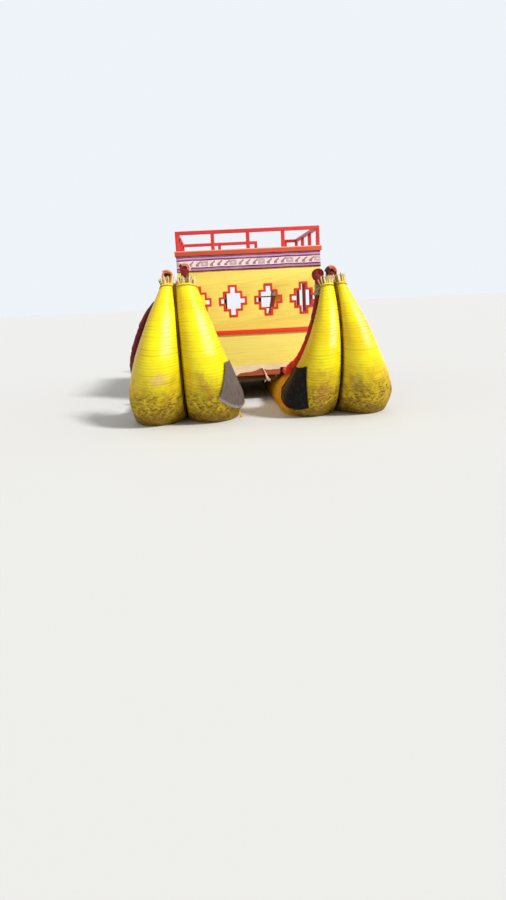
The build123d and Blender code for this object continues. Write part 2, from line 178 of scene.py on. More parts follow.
# %% Grid to mesh
def grid_quads(rows, columns, ring):
    """Corner numbers of every quad in a grid of points, with the row i and column j of each."""
    i, j = np.meshgrid(np.arange(rows - 1), np.arange(columns if ring else columns - 1), indexing="ij")
    i, j = i.ravel(), j.ravel()
    after = (j + 1) % columns
    here, above = i * columns, (i + 1) * columns
    return np.stack([here + j, here + after, above + after, above + j], 1), i, j


def end_fans(rows, columns, first_centre):
    """Triangles that close the two open ends of a tube, round two centre points numbered in a row."""
    edge = np.arange(columns)
    beside = (edge + 1) % columns
    last = (rows - 1) * columns
    foot = np.stack([beside, edge, np.full(columns, first_centre)], 1)
    head = np.stack([last + edge, last + beside, np.full(columns, first_centre + 1)], 1)
    return np.concatenate([foot.ravel(), head.ravel()])


def grid_mesh(name, points, ring=False, caps=False, uv=None, marks=None):
    """Mesh of a grid: corner (i, j) meets (i, j+1), (i+1, j+1) and (i+1, j).

    ring joins the last column to the first. caps closes both ends with a fan round their mean
    point. uv has one column more than a ring has. marks are named numbers, one for each point.
    """
    rows, columns = points.shape[:2]
    quads, i, j = grid_quads(rows, columns, ring)
    vertices = points.reshape(-1, 3)
    loops = quads.ravel()
    sizes = np.full(len(quads), 4)
    if caps:
        loops = np.concatenate([loops, end_fans(rows, columns, len(vertices))])
        sizes = np.concatenate([sizes, np.full(2 * columns, 3)])
        vertices = np.concatenate([vertices, [points[0].mean(0), points[-1].mean(0)]])
    mesh = bpy.data.meshes.new(name)
    fill_mesh(mesh, vertices, loops, sizes)
    if uv is not None:
        corners = np.stack([uv[i, j], uv[i, j + 1], uv[i + 1, j + 1], uv[i + 1, j]], 1)
        corners = corners.reshape(-1, 2)
        spare = np.tile(uv[0, 0], (len(loops) - len(corners), 1))
        layer = mesh.uv_layers.new(name="UVMap")
        layer.uv.foreach_set("vector", np.concatenate([corners, spare]).astype(np.float32).ravel())
    for mark, values in (marks or {}).items():
        add_mark(mesh, mark, np.concatenate([values.ravel(), np.zeros(len(vertices) - values.size)]))
    return mesh


def grid_of(first, second):
    """Every pair of two rows of numbers, as a grid of pairs."""
    return np.stack(np.meshgrid(first, second, indexing="ij"), -1)


def shade_faces(mesh, smooth):
    mesh.polygons.foreach_set("use_smooth", np.full(len(mesh.polygons), smooth))


def add_mark(mesh, mark, values):
    """One named number for each point of a mesh, for a material to read."""
    layer = mesh.attributes.new(mark, "FLOAT", "POINT")
    layer.data.foreach_set("value", values.astype(np.float32))


def fill_mesh(mesh, vertices, loops, sizes):
    """Puts flat arrays of points and face corners into a mesh, with smooth faces."""
    mesh.vertices.add(len(vertices))
    mesh.vertices.foreach_set("co", np.asarray(vertices, np.float32).ravel())
    mesh.loops.add(len(loops))
    mesh.loops.foreach_set("vertex_index", np.asarray(loops, np.int32))
    mesh.polygons.add(len(sizes))
    starts = np.concatenate([[0], np.cumsum(sizes)[:-1]])
    mesh.polygons.foreach_set("loop_start", starts.astype(np.int32))
    mesh.polygons.foreach_set("use_smooth", np.ones(len(sizes), bool))
    mesh.update(calc_edges=True)
    mesh.validate()


def strands_mesh(name, paths, radii, sides, across):
    """Many thin tubes at once, each closed at both ends.

    paths holds tubes by rows by 3 numbers, radii a radius for each row, and across a vector that
    no path runs along. A tube's point is its path's, plus the radius in each direction round it,
    where first is square to the run and to across, and second is square to both. The mark "along"
    grows from 0 at the foot to 1 at the head.
    """
    tubes, rows = paths.shape[:2]
    run = unit(np.gradient(paths, axis=1))
    first = unit(np.cross(run, across))
    second = np.cross(run, first)
    v = np.linspace(0, full_turn, sides, endpoint=False)
    circle = direction(v, first[:, :, None], second[:, :, None])
    rings = (paths[:, :, None] + radii[..., None, None] * circle).reshape(tubes, -1, 3)
    vertices = np.concatenate([rings, paths[:, :1], paths[:, -1:]], axis=1)
    quads = grid_quads(rows, sides, True)[0]
    one = np.concatenate([quads.ravel(), end_fans(rows, sides, rows * sides)])
    sizes = np.concatenate([np.full(len(quads), 4), np.full(2 * sides, 3)])
    loops = one[None] + np.arange(tubes)[:, None] * vertices.shape[1]
    mesh = bpy.data.meshes.new(name)
    fill_mesh(mesh, vertices.reshape(-1, 3), loops.ravel(), np.tile(sizes, tubes))
    along = np.concatenate([np.repeat(np.linspace(0, 1, rows), sides), [0.0, 1.0]])
    add_mark(mesh, "along", np.tile(along, tubes))
    return mesh


def unit(vectors):
    return vectors / np.linalg.norm(vectors, axis=-1, keepdims=True)


def direction(v, first, second):
    """Direction at angle v from first towards second: cos v first + sin v second."""
    return np.cos(v)[..., None] * first + np.sin(v)[..., None] * second


def place(name, mesh, material, slot, replaces=()):
    """Links a piece, lets it ride with the boat, and says which nodes of the frame it stands for."""
    piece = bpy.data.objects.new(name, mesh)
    scene.collection.objects.link(piece)
    mesh.materials.clear()
    mesh.materials.append(material)
    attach(piece, "root")
    if replaces:
        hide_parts(*replaces)
    return piece


def thicken(piece, thickness, offset):
    """Gives a sheet its thickness: inwards at offset -1, outwards at 1, half and half at 0."""
    modifier = piece.modifiers.new("thickness", "SOLIDIFY")
    modifier.thickness = thickness
    modifier.offset = offset


# %% [markdown]
# ## Shared effects for the finishes
# Paint wears at its edges, wood shows grain, cloth shows its weave and dirt gathers low down. Each
# of these is one node group that puts out a mask, used by every material that needs it.

# %% Small helpers for materials
def srgb(red, green, blue):
    """Linear colour of three screen values from 0 to 255: the power law of the sRGB standard."""
    shares = [value / 255 for value in (red, green, blue)]
    linear = [s / 12.92 if s <= 0.04045 else ((s + 0.055) / 1.055) ** 2.4 for s in shares]
    return (*linear, 1.0)


def math_node(tree, operation, a, b=0.0, clamp=False):
    return node(tree, "ShaderNodeMath", {0: a, 1: b}, operation=operation, use_clamp=clamp).outputs[0]


def times(tree, first, *others):
    """Product of masks and numbers."""
    for value in others:
        first = math_node(tree, "MULTIPLY", first, value)
    return first


def off(tree, value, centre):
    """How far a value is from a centre, either way."""
    return math_node(tree, "ABSOLUTE", minus(tree, value, centre))


def plus(tree, a, b):
    return math_node(tree, "ADD", a, b)


def minus(tree, a, b):
    return math_node(tree, "SUBTRACT", a, b)


def divided(tree, a, b):
    return math_node(tree, "DIVIDE", a, b)


def larger(tree, a, b):
    return math_node(tree, "MAXIMUM", a, b)


def less(tree, a, b):
    return math_node(tree, "LESS_THAN", a, b)


def axis_of(tree, vector, axis):
    return node(tree, "ShaderNodeSeparateXYZ", {"Vector": vector}).outputs[axis]


def span(tree, value, low, high, to_low=0.0, to_high=1.0):
    """value from low to high, made to run smoothly from to_low to to_high."""
    ends = {"Value": value, "From Min": low, "From Max": high, "To Min": to_low, "To Max": to_high}
    return node(tree, "ShaderNodeMapRange", ends, interpolation_type="SMOOTHSTEP").outputs["Result"]


def blend_colour(tree, share, a, b, kind="MIX"):
    """a where share is 0 and b where it is 1. The mix node's colour sockets are numbers 6 and 7."""
    inputs = {0: share, 6: a, 7: b}
    return node(tree, "ShaderNodeMix", inputs, data_type="RGBA", blend_type=kind).outputs[2]


def noise(tree, vector, scale, detail=3.0, roughness=0.55):
    grain = {"Vector": vector, "Scale": scale, "Detail": detail, "Roughness": roughness}
    return node(tree, "ShaderNodeTexNoise", grain).outputs["Fac"]


def stretched(tree, vector, scale):
    """A pattern's coordinates, multiplied along each axis."""
    return node(tree, "ShaderNodeMapping", {"Vector": vector, "Scale": scale}).outputs["Vector"]


def drawn_noise(tree, vector, scale, detail=3.0, roughness=0.55):
    """Noise with a scale of its own along each axis."""
    return noise(tree, stretched(tree, vector, scale), 1.0, detail, roughness)


def tint(tree, colour, share, over, strength=1.0):
    """Lays a screen colour over a colour where a mask says so, at a strength."""
    share = share if strength == 1.0 else times(tree, share, strength)
    return blend_colour(tree, share, colour, srgb(*over))


def object_place(tree):
    return node(tree, "ShaderNodeTexCoord").outputs["Object"]


def uv_place(tree):
    return node(tree, "ShaderNodeUVMap", uv_map="UVMap").outputs["UV"]


def mark_of(tree, mark):
    return node(tree, "ShaderNodeAttribute", attribute_name=mark).outputs["Fac"]


def island_share(tree):
    """A random number from 0 to 1 for each separate part of a mesh."""
    return node(tree, "ShaderNodeNewGeometry").outputs["Random Per Island"]


def new_group(name, inputs, outputs):
    """An empty node group with named number sockets: (name, default) in, and names out."""
    tree = bpy.data.node_groups.new(name, "ShaderNodeTree")
    for label, value in inputs:
        kind = "NodeSocketVector" if value is None else "NodeSocketFloat"
        socket = tree.interface.new_socket(name=label, in_out="INPUT", socket_type=kind)
        if value is not None:
            socket.default_value = value
    for label in outputs:
        tree.interface.new_socket(name=label, in_out="OUTPUT", socket_type="NodeSocketFloat")
    return tree, tree.nodes.new("NodeGroupInput"), tree.nodes.new("NodeGroupOutput")


def use_group(tree, group, inputs, output=0):
    return node(tree, "ShaderNodeGroup", inputs, node_tree=group).outputs[output]


# %% Groups: edge wear, wood grain, weave, low dirt
def make_edge_wear():
    """Wear is where a rounded normal leaves the true one, broken up by noise."""
    tree, given, result = new_group("edge_wear", [("Radius", 0.006), ("Amount", 0.5)], ["Mask"])
    rounded = node(tree, "ShaderNodeBevel", {"Radius": given.outputs["Radius"]}, samples=4).outputs[0]
    true = node(tree, "ShaderNodeNewGeometry").outputs["Normal"]
    alike = node(tree, "ShaderNodeVectorMath", {0: rounded, 1: true}, operation="DOT_PRODUCT")
    edge = span(tree, alike.outputs["Value"], 0.995, 0.86)
    patchy = span(tree, noise(tree, object_place(tree), 23.0, 4.0), 0.42, 0.66)
    mask = math_node(tree, "MULTIPLY", times(tree, edge, patchy), given.outputs["Amount"], True)
    tree.links.new(mask, result.inputs["Mask"])
    return tree


def make_wood_grain():
    """Noise squeezed across the board and drawn out along it. The caller stretches the vector."""
    inputs = [("Vector", None), ("Fineness", 1.0)]
    tree, given, result = new_group("wood_grain", inputs, ["Grain", "Pores"])
    vector = given.outputs["Vector"]
    bent = noise(tree, vector, 0.9, 2.0)
    moved = node(tree, "ShaderNodeVectorMath", {0: vector, 1: bent}, operation="ADD").outputs["Vector"]
    broad = noise(tree, moved, 3.2, 5.0, 0.62)
    fine = noise(tree, moved, times(tree, given.outputs["Fineness"], 17.0), 3.0)
    tree.links.new(span(tree, broad, 0.30, 0.70), result.inputs["Grain"])
    tree.links.new(span(tree, fine, 0.38, 0.62), result.inputs["Pores"])
    return tree


def make_weave():
    """Threads over and under: the product of two sine waves that cross at right angles."""
    tree, given, result = new_group("weave", [("Vector", None), ("Threads", 120.0)], ["Height"])
    turn = times(tree, given.outputs["Threads"], full_turn)
    along, across = [times(tree, axis_of(tree, given.outputs["Vector"], axis), turn) for axis in "XY"]
    threads = times(tree, math_node(tree, "SINE", along), math_node(tree, "SINE", across))
    tree.links.new(span(tree, threads, -1.0, 1.0), result.inputs["Height"])
    return tree


def make_low_dirt():
    """Dirt is thick below one height and gone above another, with a ragged edge from noise."""
    inputs = [("Low", 0.0), ("High", 0.6), ("Ragged", 0.25), ("Scale", 6.0)]
    tree, given, result = new_group("low_dirt", inputs, ["Mask"])
    here = object_place(tree)
    rough = minus(tree, noise(tree, here, given.outputs["Scale"], 5.0, 0.65), 0.5)
    height = plus(tree, axis_of(tree, here, "Z"), times(tree, rough, given.outputs["Ragged"]))
    clean = span(tree, height, given.outputs["Low"], given.outputs["High"])
    tree.links.new(minus(tree, 1.0, clean), result.inputs["Mask"])
    return tree


edge_wear = make_edge_wear()
wood_grain = make_wood_grain()
weave = make_weave()
low_dirt = make_low_dirt()
print("node groups:", [g.name for g in bpy.data.node_groups])


# %% A material's beginning and end
def new_material(name, roughness, specular):
    material = bpy.data.materials.new(name)
    material.use_nodes = True
    tree = material.node_tree
    shader = tree.nodes["Principled BSDF"]
    shader.inputs["Roughness"].default_value = roughness
    shader.inputs["Specular IOR Level"].default_value = specular
    return material, tree, shader


def finish_material(tree, shader, colour, roughness, height, depth, strength):
    """Feeds the shader its colour and its bump, and its roughness where that varies."""
    tree.links.new(colour, shader.inputs["Base Color"])
    if roughness is not None:
        tree.links.new(roughness, shader.inputs["Roughness"])
    bump = node(tree, "ShaderNodeBump", {"Height": height, "Distance": depth, "Strength": strength})
    tree.links.new(bump.outputs["Normal"], shader.inputs["Normal"])


# %% [markdown]
# ## Painted and bare wood
# The cabin is knocked together from sawn boards and painted by brush. Paint on wood is even in
# colour but not in gloss: the grain shows through as a low relief, and at the edges the paint is
# rubbed off. Each board takes a slightly different shade, which Random Per Island gives.

# %% Wood materials
grain_along = {"x": (0.6, 14.0, 14.0), "y": (14.0, 0.6, 14.0), "z": (14.0, 14.0, 0.6)}
bare_wood = (196, 160, 112)
joint_brown = (150, 96, 40)
grain_shadow = (0.10, 0.06, 0.03, 1.0)
pore_shadow = (0.06, 0.04, 0.03, 1.0)
palest, deepest = (1.0, 1.0, 1.0, 1.0), (0.70, 0.68, 0.66, 1.0)     # between single boards


def grain_of(tree, here, along, fineness):
    """Grain and pores of a board that lies along an axis."""
    vector = stretched(tree, here, grain_along[along])
    inputs = {"Vector": vector, "Fineness": fineness}
    return [use_group(tree, wood_grain, inputs, output) for output in ("Grain", "Pores")]


def painted_wood(name, colour, along, wear, rough, dark, boards=0.0):
    """Brushed paint over sawn wood. dark is how far the deepest shade falls below colour.

    boards is the height of a course of boards, whose joints show as faint level lines.
    """
    material, tree, shader = new_material(name, rough, 0.45)
    here = object_place(tree)
    grain, pores = grain_of(tree, here, along, 1.6)
    cloudy = span(tree, noise(tree, here, 2.3, 4.0), 0.32, 0.70)
    shade = plus(tree, times(tree, cloudy, 0.5), times(tree, island_share(tree), 0.5))
    bright = srgb(*colour)
    deep = tuple(c * dark for c in bright[:3]) + (1.0,)
    paint = blend_colour(tree, shade, deep, bright)
    paint = blend_colour(tree, times(tree, grain, 0.10), paint, grain_shadow)
    worn = use_group(tree, edge_wear, {"Radius": 0.007, "Amount": wear})
    paint = tint(tree, paint, worn, bare_wood)
    if boards:
        wander = times(tree, noise(tree, here, 1.4, 2.0), 0.02)
        height = plus(tree, axis_of(tree, here, "Z"), wander)
        course = math_node(tree, "FRACT", divided(tree, height, boards))
        broken = span(tree, noise(tree, here, 3.5, 3.0), 0.38, 0.62, 0.0, 0.20)
        paint = tint(tree, paint, times(tree, less(tree, course, 0.045), broken), joint_brown)
    varied = span(tree, pores, 0.0, 1.0, rough - 0.06, rough + 0.16)
    relief = plus(tree, times(tree, grain, 0.7), times(tree, pores, 0.3))
    finish_material(tree, shader, paint, varied, relief, 0.0012, 0.45)
    return material


def plain_wood(name, pale, deep, along, rough):
    """Sawn wood without paint: grain mixes two browns, and each board has its own shade."""
    material, tree, shader = new_material(name, rough, 0.35)
    grain, pores = grain_of(tree, object_place(tree), along, 2.2)
    colour = blend_colour(tree, grain, srgb(*pale), srgb(*deep))
    shade = blend_colour(tree, island_share(tree), deepest, palest)
    colour = blend_colour(tree, 1.0, colour, shade, "MULTIPLY")
    colour = blend_colour(tree, times(tree, pores, 0.25), colour, pore_shadow)
    varied = span(tree, pores, 0.0, 1.0, rough - 0.1, rough + 0.15)
    finish_material(tree, shader, colour, varied, grain, 0.0016, 0.6)
    return material


yellow, bright_red, dark_red = (255, 228, 104), (226, 48, 50), (128, 34, 30)
board_course = 0.14

# finish: screen colour, axis of the grain, wear at edges, roughness, deepest shade, board course
paints = {
    "wall_yellow": (yellow, "x", 0.25, 0.46, 0.95, board_course),
    # The lower wall's yellow is paler than the upper's: partly its own paint, partly painted light
    # against the shade the bundles cast low on the wall.
    "low_wall_yellow_and_painted_light": ((255, 240, 122), "x", 0.25, 0.46, 0.95, board_course),
    "cream_paint": ((255, 236, 198), "x", 0.10, 0.62, 0.84),
    "torn_red": ((186, 88, 58), "x", 0.45, 0.60, 0.66),
    "side_yellow": (yellow, "y", 0.35, 0.46, 0.92),
    "rail_red": (bright_red, "x", 0.45, 0.36, 0.88),
    "side_rail_red": (bright_red, "y", 0.45, 0.36, 0.88),
    "post_red": (bright_red, "z", 0.45, 0.36, 0.88),
    "frame_red": ((232, 52, 26), "z", 0.30, 0.34, 0.90),
    "batten_red": ((244, 54, 24), "x", 0.30, 0.44, 0.88),
    "dark_post_red": (dark_red, "z", 0.45, 0.48, 0.80),
    "dark_beam_red": (dark_red, "x", 0.45, 0.48, 0.80),
    "dark_side_red": (dark_red, "y", 0.45, 0.48, 0.80),
    "fascia_orange": ((220, 84, 50), "x", 0.35, 0.42, 0.86),
    "cap_salmon": ((240, 176, 150), "x", 0.55, 0.48, 0.86),
    "inner_brown": ((168, 96, 62), "x", 0.45, 0.55, 0.80),
}
# finish: pale and deep screen colour, axis of the grain, roughness
plain_woods = {
    "bare_timber": ((206, 170, 118), (150, 112, 70), "y", 0.68),
    "bare_joist": ((206, 170, 118), (150, 112, 70), "x", 0.68),
    "deck_timber": ((176, 150, 116), (118, 94, 68), "x", 0.74),
    "pole_timber": ((150, 124, 88), (92, 70, 48), "x", 0.76),
    "bench_timber": ((180, 128, 74), (122, 78, 42), "y", 0.42),
}
wood = {name: painted_wood(name, *row) for name, row in paints.items()}
wood |= {name: plain_wood(name, *row) for name, row in plain_woods.items()}
print("wood finishes:", len(wood))

# %% [markdown]
# ## The carpentry
# These pieces keep the frame's shape to the millimetre. A copy of each mesh is merged, its flat
# faces are joined up, and a small bevel takes the knife edge off, because sawn and brushed wood
# never has one. The copy stands for its node.

# %% Dress the wooden nodes
merge_distance = 1e-5
flat_angle = math.radians(1.0)


def merged_copy(name, ending, flat=0.0):
    """Copy of a node's mesh: doubled points merged, and faces joined that meet flatter than an angle."""
    work = bmesh.new()
    work.from_mesh(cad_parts[name].data)
    bmesh.ops.remove_doubles(work, verts=work.verts, dist=merge_distance)
    if flat:
        bmesh.ops.dissolve_limit(work, angle_limit=flat, verts=work.verts, edges=work.edges)
    mesh = bpy.data.meshes.new(name + ending)
    work.to_mesh(mesh)
    work.free()
    shade_faces(mesh, True)
    return mesh


def dress(name, material, slot, bevel):
    """Puts a copy of a node in its place, with edges rounded by a modifier."""
    piece = place(name + "_wood", merged_copy(name, "_wood", flat_angle), material, slot, [name])
    rounding = piece.modifiers.new("edges", "BEVEL")
    rounding.width = bevel
    rounding.segments = 2
    rounding.limit_method = "ANGLE"
    rounding.harden_normals = True


# columns: nodes, finish, the record's slot, bevel in metres
carpentry = [
    (["rear_wall_lower"], "low_wall_yellow_and_painted_light", "yellow_paint", 0.003),
    (["rear_wall_upper"], "wall_yellow", "yellow_paint", 0.003),
    (["port_side_panels", "starboard_side_panels"], "side_yellow", "yellow_paint", 0.003),
    (["front_panels"], "wall_yellow", "yellow_paint", 0.003),
    (["rear_sill"], "cream_paint", "bare_timber", 0.004),
    (["deck_end_board"], "torn_red", "dark_red_paint", 0.004),
    (["rear_batten"], "batten_red", "red_paint", 0.008),
    (["front_rails"], "rail_red", "red_paint", 0.005),
    (["port_side_rails", "starboard_side_rails"], "side_rail_red", "red_paint", 0.005),
    (["top_rail"], "rail_red", "red_paint", 0.007),
    (["rear_rail_posts", "side_rail_posts", "front_rail_posts"], "post_red", "red_paint", 0.006),
    (["window_frames"], "frame_red", "red_paint", 0.003),
    (["corner_posts", "side_posts", "door_posts"], "dark_post_red", "dark_red_paint", 0.005),
    (["end_headers"], "dark_beam_red", "dark_red_paint", 0.005),
    (["side_headers"], "dark_side_red", "dark_red_paint", 0.005),
    (["fascia_boards"], "fascia_orange", "orange_paint", 0.004),
    (["parapet_cap"], "cap_salmon", "salmon_paint", 0.005),
    (["rear_parapet", "front_parapets", "side_parapets"], "inner_brown", "parapet_paint", 0.003),
    (["cabin_floor", "foredeck", "upper_deck"], "deck_timber", "deck_boards", 0.003),
    (["upper_joists"], "bare_joist", "bare_timber", 0.004),
    (["deck_bearers"], "bare_timber", "bare_timber", 0.004),
    (["port_cabin_bench", "starboard_cabin_bench", "port_upper_bench", "starboard_upper_bench",
      "rear_upper_bench"], "bench_timber", "bench_timber", 0.005),
    (["ladder"], "post_red", "red_paint", 0.004),
]
for names, finish, slot, bevel in carpentry:
    for name in names:
        dress(name, wood[finish], slot, bevel)
print("wooden nodes dressed:", sum(len(row[0]) for row in carpentry))

# %% [markdown]
# Under the rear wall a thin pale facing is nailed over the sill and the end board. It has torn off
# along its lower edge, where the red board shows. The facing is a flat profile carried along X: its
# top is level and its foot follows the tear, a line through a few points with small waves added.

# %% Torn facing
facing_y = -1.6735
facing_thick = 0.003
facing_top = 0.7255
# columns: x and height of the tear, from port to starboard
tear = np.array([
    (-0.522, 0.514), (-0.36, 0.520), (-0.27, 0.575), (-0.03, 0.592), (0.055, 0.618), (0.118, 0.640),
    (0.158, 0.656), (0.20, 0.634), (0.26, 0.612), (0.40, 0.615), (0.522, 0.622)])
curl_x, curl_half, curl_out = 0.158, 0.06, 0.010      # where the foot has curled away from the wall


def waves(values, count, lowest, highest, seed):
    """Mean of a few sine waves with random frequencies and phases, from -1 to 1."""
    rng = np.random.default_rng(seed)
    total = np.zeros_like(values)
    for frequency, phase in zip(rng.uniform(lowest, highest, count), rng.uniform(0, full_turn, count)):
        total = total + np.sin(values * frequency + phase)
    return total / count


def torn_facing():
    """Flat bar with a torn foot: four corners of its profile at each x."""
    x = np.linspace(tear[0, 0], tear[-1, 0], 150)
    foot = np.interp(x, tear[:, 0], tear[:, 1]) + 0.006 * waves(x, 6, 30.0, 190.0, 3)
    top = facing_top + 0.002 * waves(x, 4, 20.0, 90.0, 4)
    curl = curl_out * np.exp(-((x - curl_x) / curl_half) ** 2)
    outer = facing_y - facing_thick
    corners = [(outer - curl, foot), (outer, top), (facing_y, top), (facing_y - curl, foot)]
    points = np.stack([np.stack([x, y + 0 * x, z], -1) for y, z in corners], 1)
    return grid_mesh("torn_facing", points, ring=True, caps=True)


facing = place("torn_facing", torn_facing(), wood["cream_paint"], "bare_timber")
shade_faces(facing.data, False)
print("facing", len(facing.data.polygons), "faces")

# %% [markdown]
# ## The hull's curve
# A bundle runs straight amidships and follows an arc up to each tip, getting thinner as it rises.
# Everything that lies on the hulls is placed by the same two numbers: the distance along the
# bundle from amidships, and the angle round it. So the curve is one function of arrays.

# %% Hull curve
hull_seam_x = 1.320
bundle_radius = 0.475
axis_height = 0.080
straight_half = 2.600
sweep_radius = 1.600
taper_start = 0.450
tip_splay = 0.013
tip_lean = {-1: -0.025, 1: 0.115}
seam_gap = 0.00015
roll_radius = 0.068
knob_radius = 0.092
across_boat = np.array([1.0, 0.0, 0.0])

Bundle = namedtuple("Bundle", "hull side tip_height tip_radius fullness sweep_lean end_lean run_on")

# The leans are the edge roll's, up the sweep and at the tip, in degrees. run_on is how far the roll
# goes on past the tip.
bundles = {
    "port_outer": Bundle(-1, -1, 2.290, 0.101, 1.39, 55, 3, 0.25),
    "port_inner": Bundle(-1, 1, 2.260, 0.170, 1.09, 18, -3, 0.42),
    "starboard_inner": Bundle(1, -1, 2.185, 0.103, 0.82, 30, 30, 0.24),
    "starboard_outer": Bundle(1, 1, 2.205, 0.082, 1.00, 0, -34, 0.25),
}
hulls = [(-1, "port"), (1, "starboard")]
ends = [(-1, "stern"), (1, "bow")]


def pair_of(hull):
    return [shape for shape in bundles.values() if shape.hull == hull]


def sweep_angle(shape):
    return math.pi / 2 + math.asin((shape.tip_height - axis_height - sweep_radius) / sweep_radius)


def reach_of(shape):
    """Distance along a bundle from amidships to its tip."""
    return straight_half + sweep_radius * sweep_angle(shape)


def hull_line(s, shape):
    """Axis, radius, deckward direction and share of the sweep at distances s from amidships.

    Past the straight part the axis turns on an arc: y = end (straight + R sin a) and
    z = axis + R (1 - cos a). The radius falls from the full one to the tip's with the height, as
    rise to the power of fullness.
    """
    end = np.where(s < 0, -1.0, 1.0)
    angle = np.maximum(np.abs(s) - straight_half, 0.0) / sweep_radius
    y = end * (np.minimum(np.abs(s), straight_half) + sweep_radius * np.sin(angle))
    z = axis_height + sweep_radius * (1 - np.cos(angle))
    rise = np.clip((z - taper_start) / (shape.tip_height - taper_start), 0.0, 1.0)
    radius = bundle_radius - (bundle_radius - shape.tip_radius) * rise ** shape.fullness
    share = angle / sweep_angle(shape)
    seam_x = shape.hull * (hull_seam_x - tip_lean[shape.hull] * share ** 3)
    x = seam_x + shape.side * (radius + seam_gap + tip_splay * share ** 3)
    axis = np.stack([x, y, z], -1)
    deckward = np.stack([np.zeros_like(s), -end * np.sin(angle), np.cos(angle)], -1)
    return axis, radius, deckward, share


def on_hull(s, v, out, shape):
    """Points at distance s along and angle v round a bundle, out beyond its surface."""
    axis, radius, deckward, _ = hull_line(s, shape)
    return axis + (radius + out)[..., None] * direction(v, across_boat, deckward)


def tipward_of(s, deckward):
    """Direction along a bundle towards its tip."""
    end = np.where(s < 0, -1.0, 1.0)
    return np.stack([np.zeros_like(s), end * deckward[..., 2], -end * deckward[..., 1]], -1)


# %% [markdown]
# ## The wound bundles
# Thin rope is wound round the reed, turn beside turn, over the whole length. From a step away the
# turns show as fine ridges that waver a little, because they are laid by hand, and in places they
# are pulled so tight that they hardly show. The surface is a tube with four rows to each turn: a
# groove, a shoulder, the crest and a shoulder. The crest keeps the frame's own radius, so the
# bundle stays in its place, and lumps only go inwards.

# %% Wound bundles
def smooth_step(x):
    """0 below 0, 1 above 1, and 3x² - 2x³ between."""
    x = np.clip(x, 0.0, 1.0)
    return x * x * (3 - 2 * x)


turn_pitch = 0.040
turn_uneven = 0.30
turn_height = 0.0062
turn_profile = np.array([0.0, 0.75, 1.0, 0.75])
lump_depth = 0.012
end_ease = 0.25              # from a tip, where lumps and wavering die out
around = 52
press = 0.6                  # how far the groove between two bundles is closed


def turn_rows(reach, rng):
    """Places of the rows, four to a turn, and how far each lies below a full crest."""
    turns = int(2 * reach / turn_pitch)
    widths = 1 + turn_uneven * rng.standard_normal(turns).clip(-1.5, 1.5)
    edges = np.concatenate([[0.0], np.cumsum(widths)]) / widths.sum() * 2 * reach - reach
    rows = (edges[:-1, None] + np.diff(edges)[:, None] * np.arange(4) / 4).ravel()
    heights = np.repeat(0.35 + 0.95 * rng.random(turns) ** 1.5, 4)
    below = heights * np.tile(1 - turn_profile, turns)
    return np.append(rows, reach)[::-1], np.append(below, 0.0)[::-1]


def wound_bundle(name, shape, seed, material):
    """Grid of a wound bundle: its radius is the hull's, less the groove's depth and the lumps'.

    Below, where it leans on its neighbour, it is pressed flatter: at an angle a from the line where
    they touch, the radius grows by a share of R (1 / cos a - 1), the way to the flat between them.
    """
    reach = reach_of(shape)
    rows, below = turn_rows(reach, np.random.default_rng(seed))
    v = np.linspace(0, full_turn, around, endpoint=False)
    s_grid, v_grid = np.meshgrid(rows, v, indexing="ij")
    inside = np.clip((reach - np.abs(s_grid)) / end_ease, 0.0, 1.0)
    waver = 0.012 * np.sin(v_grid + 2 * waves(s_grid, 3, 2.0, 6.0, seed + 1))
    waver = waver + 0.005 * np.sin(3 * v_grid + 5 * s_grid)
    pulled = s_grid * 1.1 + 1.3 * np.cos(v_grid + 0.7 * s_grid)
    tight = 0.5 + 0.5 * waves(pulled, 4, 1.5, 5.0, seed + 3)
    shows = below[:, None] * (0.35 + 0.9 * tight)
    facing = np.clip(-shape.side * np.cos(v_grid), 0.0, 1.0)
    lumps = 0.5 + 0.5 * waves(s_grid * 1.3 + 1.7 * np.sin(v_grid), 5, 2.0, 7.0, seed + 2)
    lumps = lumps * (1 - facing ** 2)
    closed = press * smooth_step((facing - 0.75) / 0.20) * (np.sin(v_grid) < 0)
    pressed = closed * hull_line(s_grid, shape)[1] * (1 / np.maximum(facing, 0.5) - 1)
    out = pressed - turn_height * shows - lump_depth * lumps * inside
    points = on_hull(s_grid + waver * inside, v_grid, out, shape)
    uv = grid_of(rows, np.linspace(0, full_turn, around + 1) * bundle_radius)
    mesh = grid_mesh(name + "_winding", points, ring=True, caps=True, uv=uv, marks={"groove": shows})
    return place(name + "_winding", mesh, material, "bundle_wrap", [name + "_bundle"])


# %% [markdown]
# The rope is bright yellow where sun and spray keep it clean. It goes golden, then olive near the
# water, where frayed fibres and scraps of old net cling to it. The mix is by height, with noise for
# its edge. The side of each bundle that looks to port, away from the sun, is tinted more golden:
# painted shade. High on the sweep, on the side that faces the sun, pale rings are a painted
# highlight. The rope's strands run round the bundle, so their bump is noise drawn out along V.

# %% Winding material
clean_rope = [(246, 218, 2), (255, 244, 6)]
low_rope = [(150, 108, 12), (214, 182, 16)]
thread_gold = (226, 184, 8)
# painted shade on the port side of each bundle, away from the sun
painted_shade_gold = (206, 158, 8)
# painted highlight high on the sweep, on the side that faces the sun
painted_highlight_rope = (255, 253, 208)
painted_highlight_height = 1.55
dark_fray, pale_fray = (96, 64, 10), (244, 220, 72)
wet_rope = (126, 96, 18)
# painted reflected light in the shade under the deck
bounce_light_orange = (255, 188, 14)
# painted shade in the grooves between the turns
groove_shade_brown = (140, 98, 6)

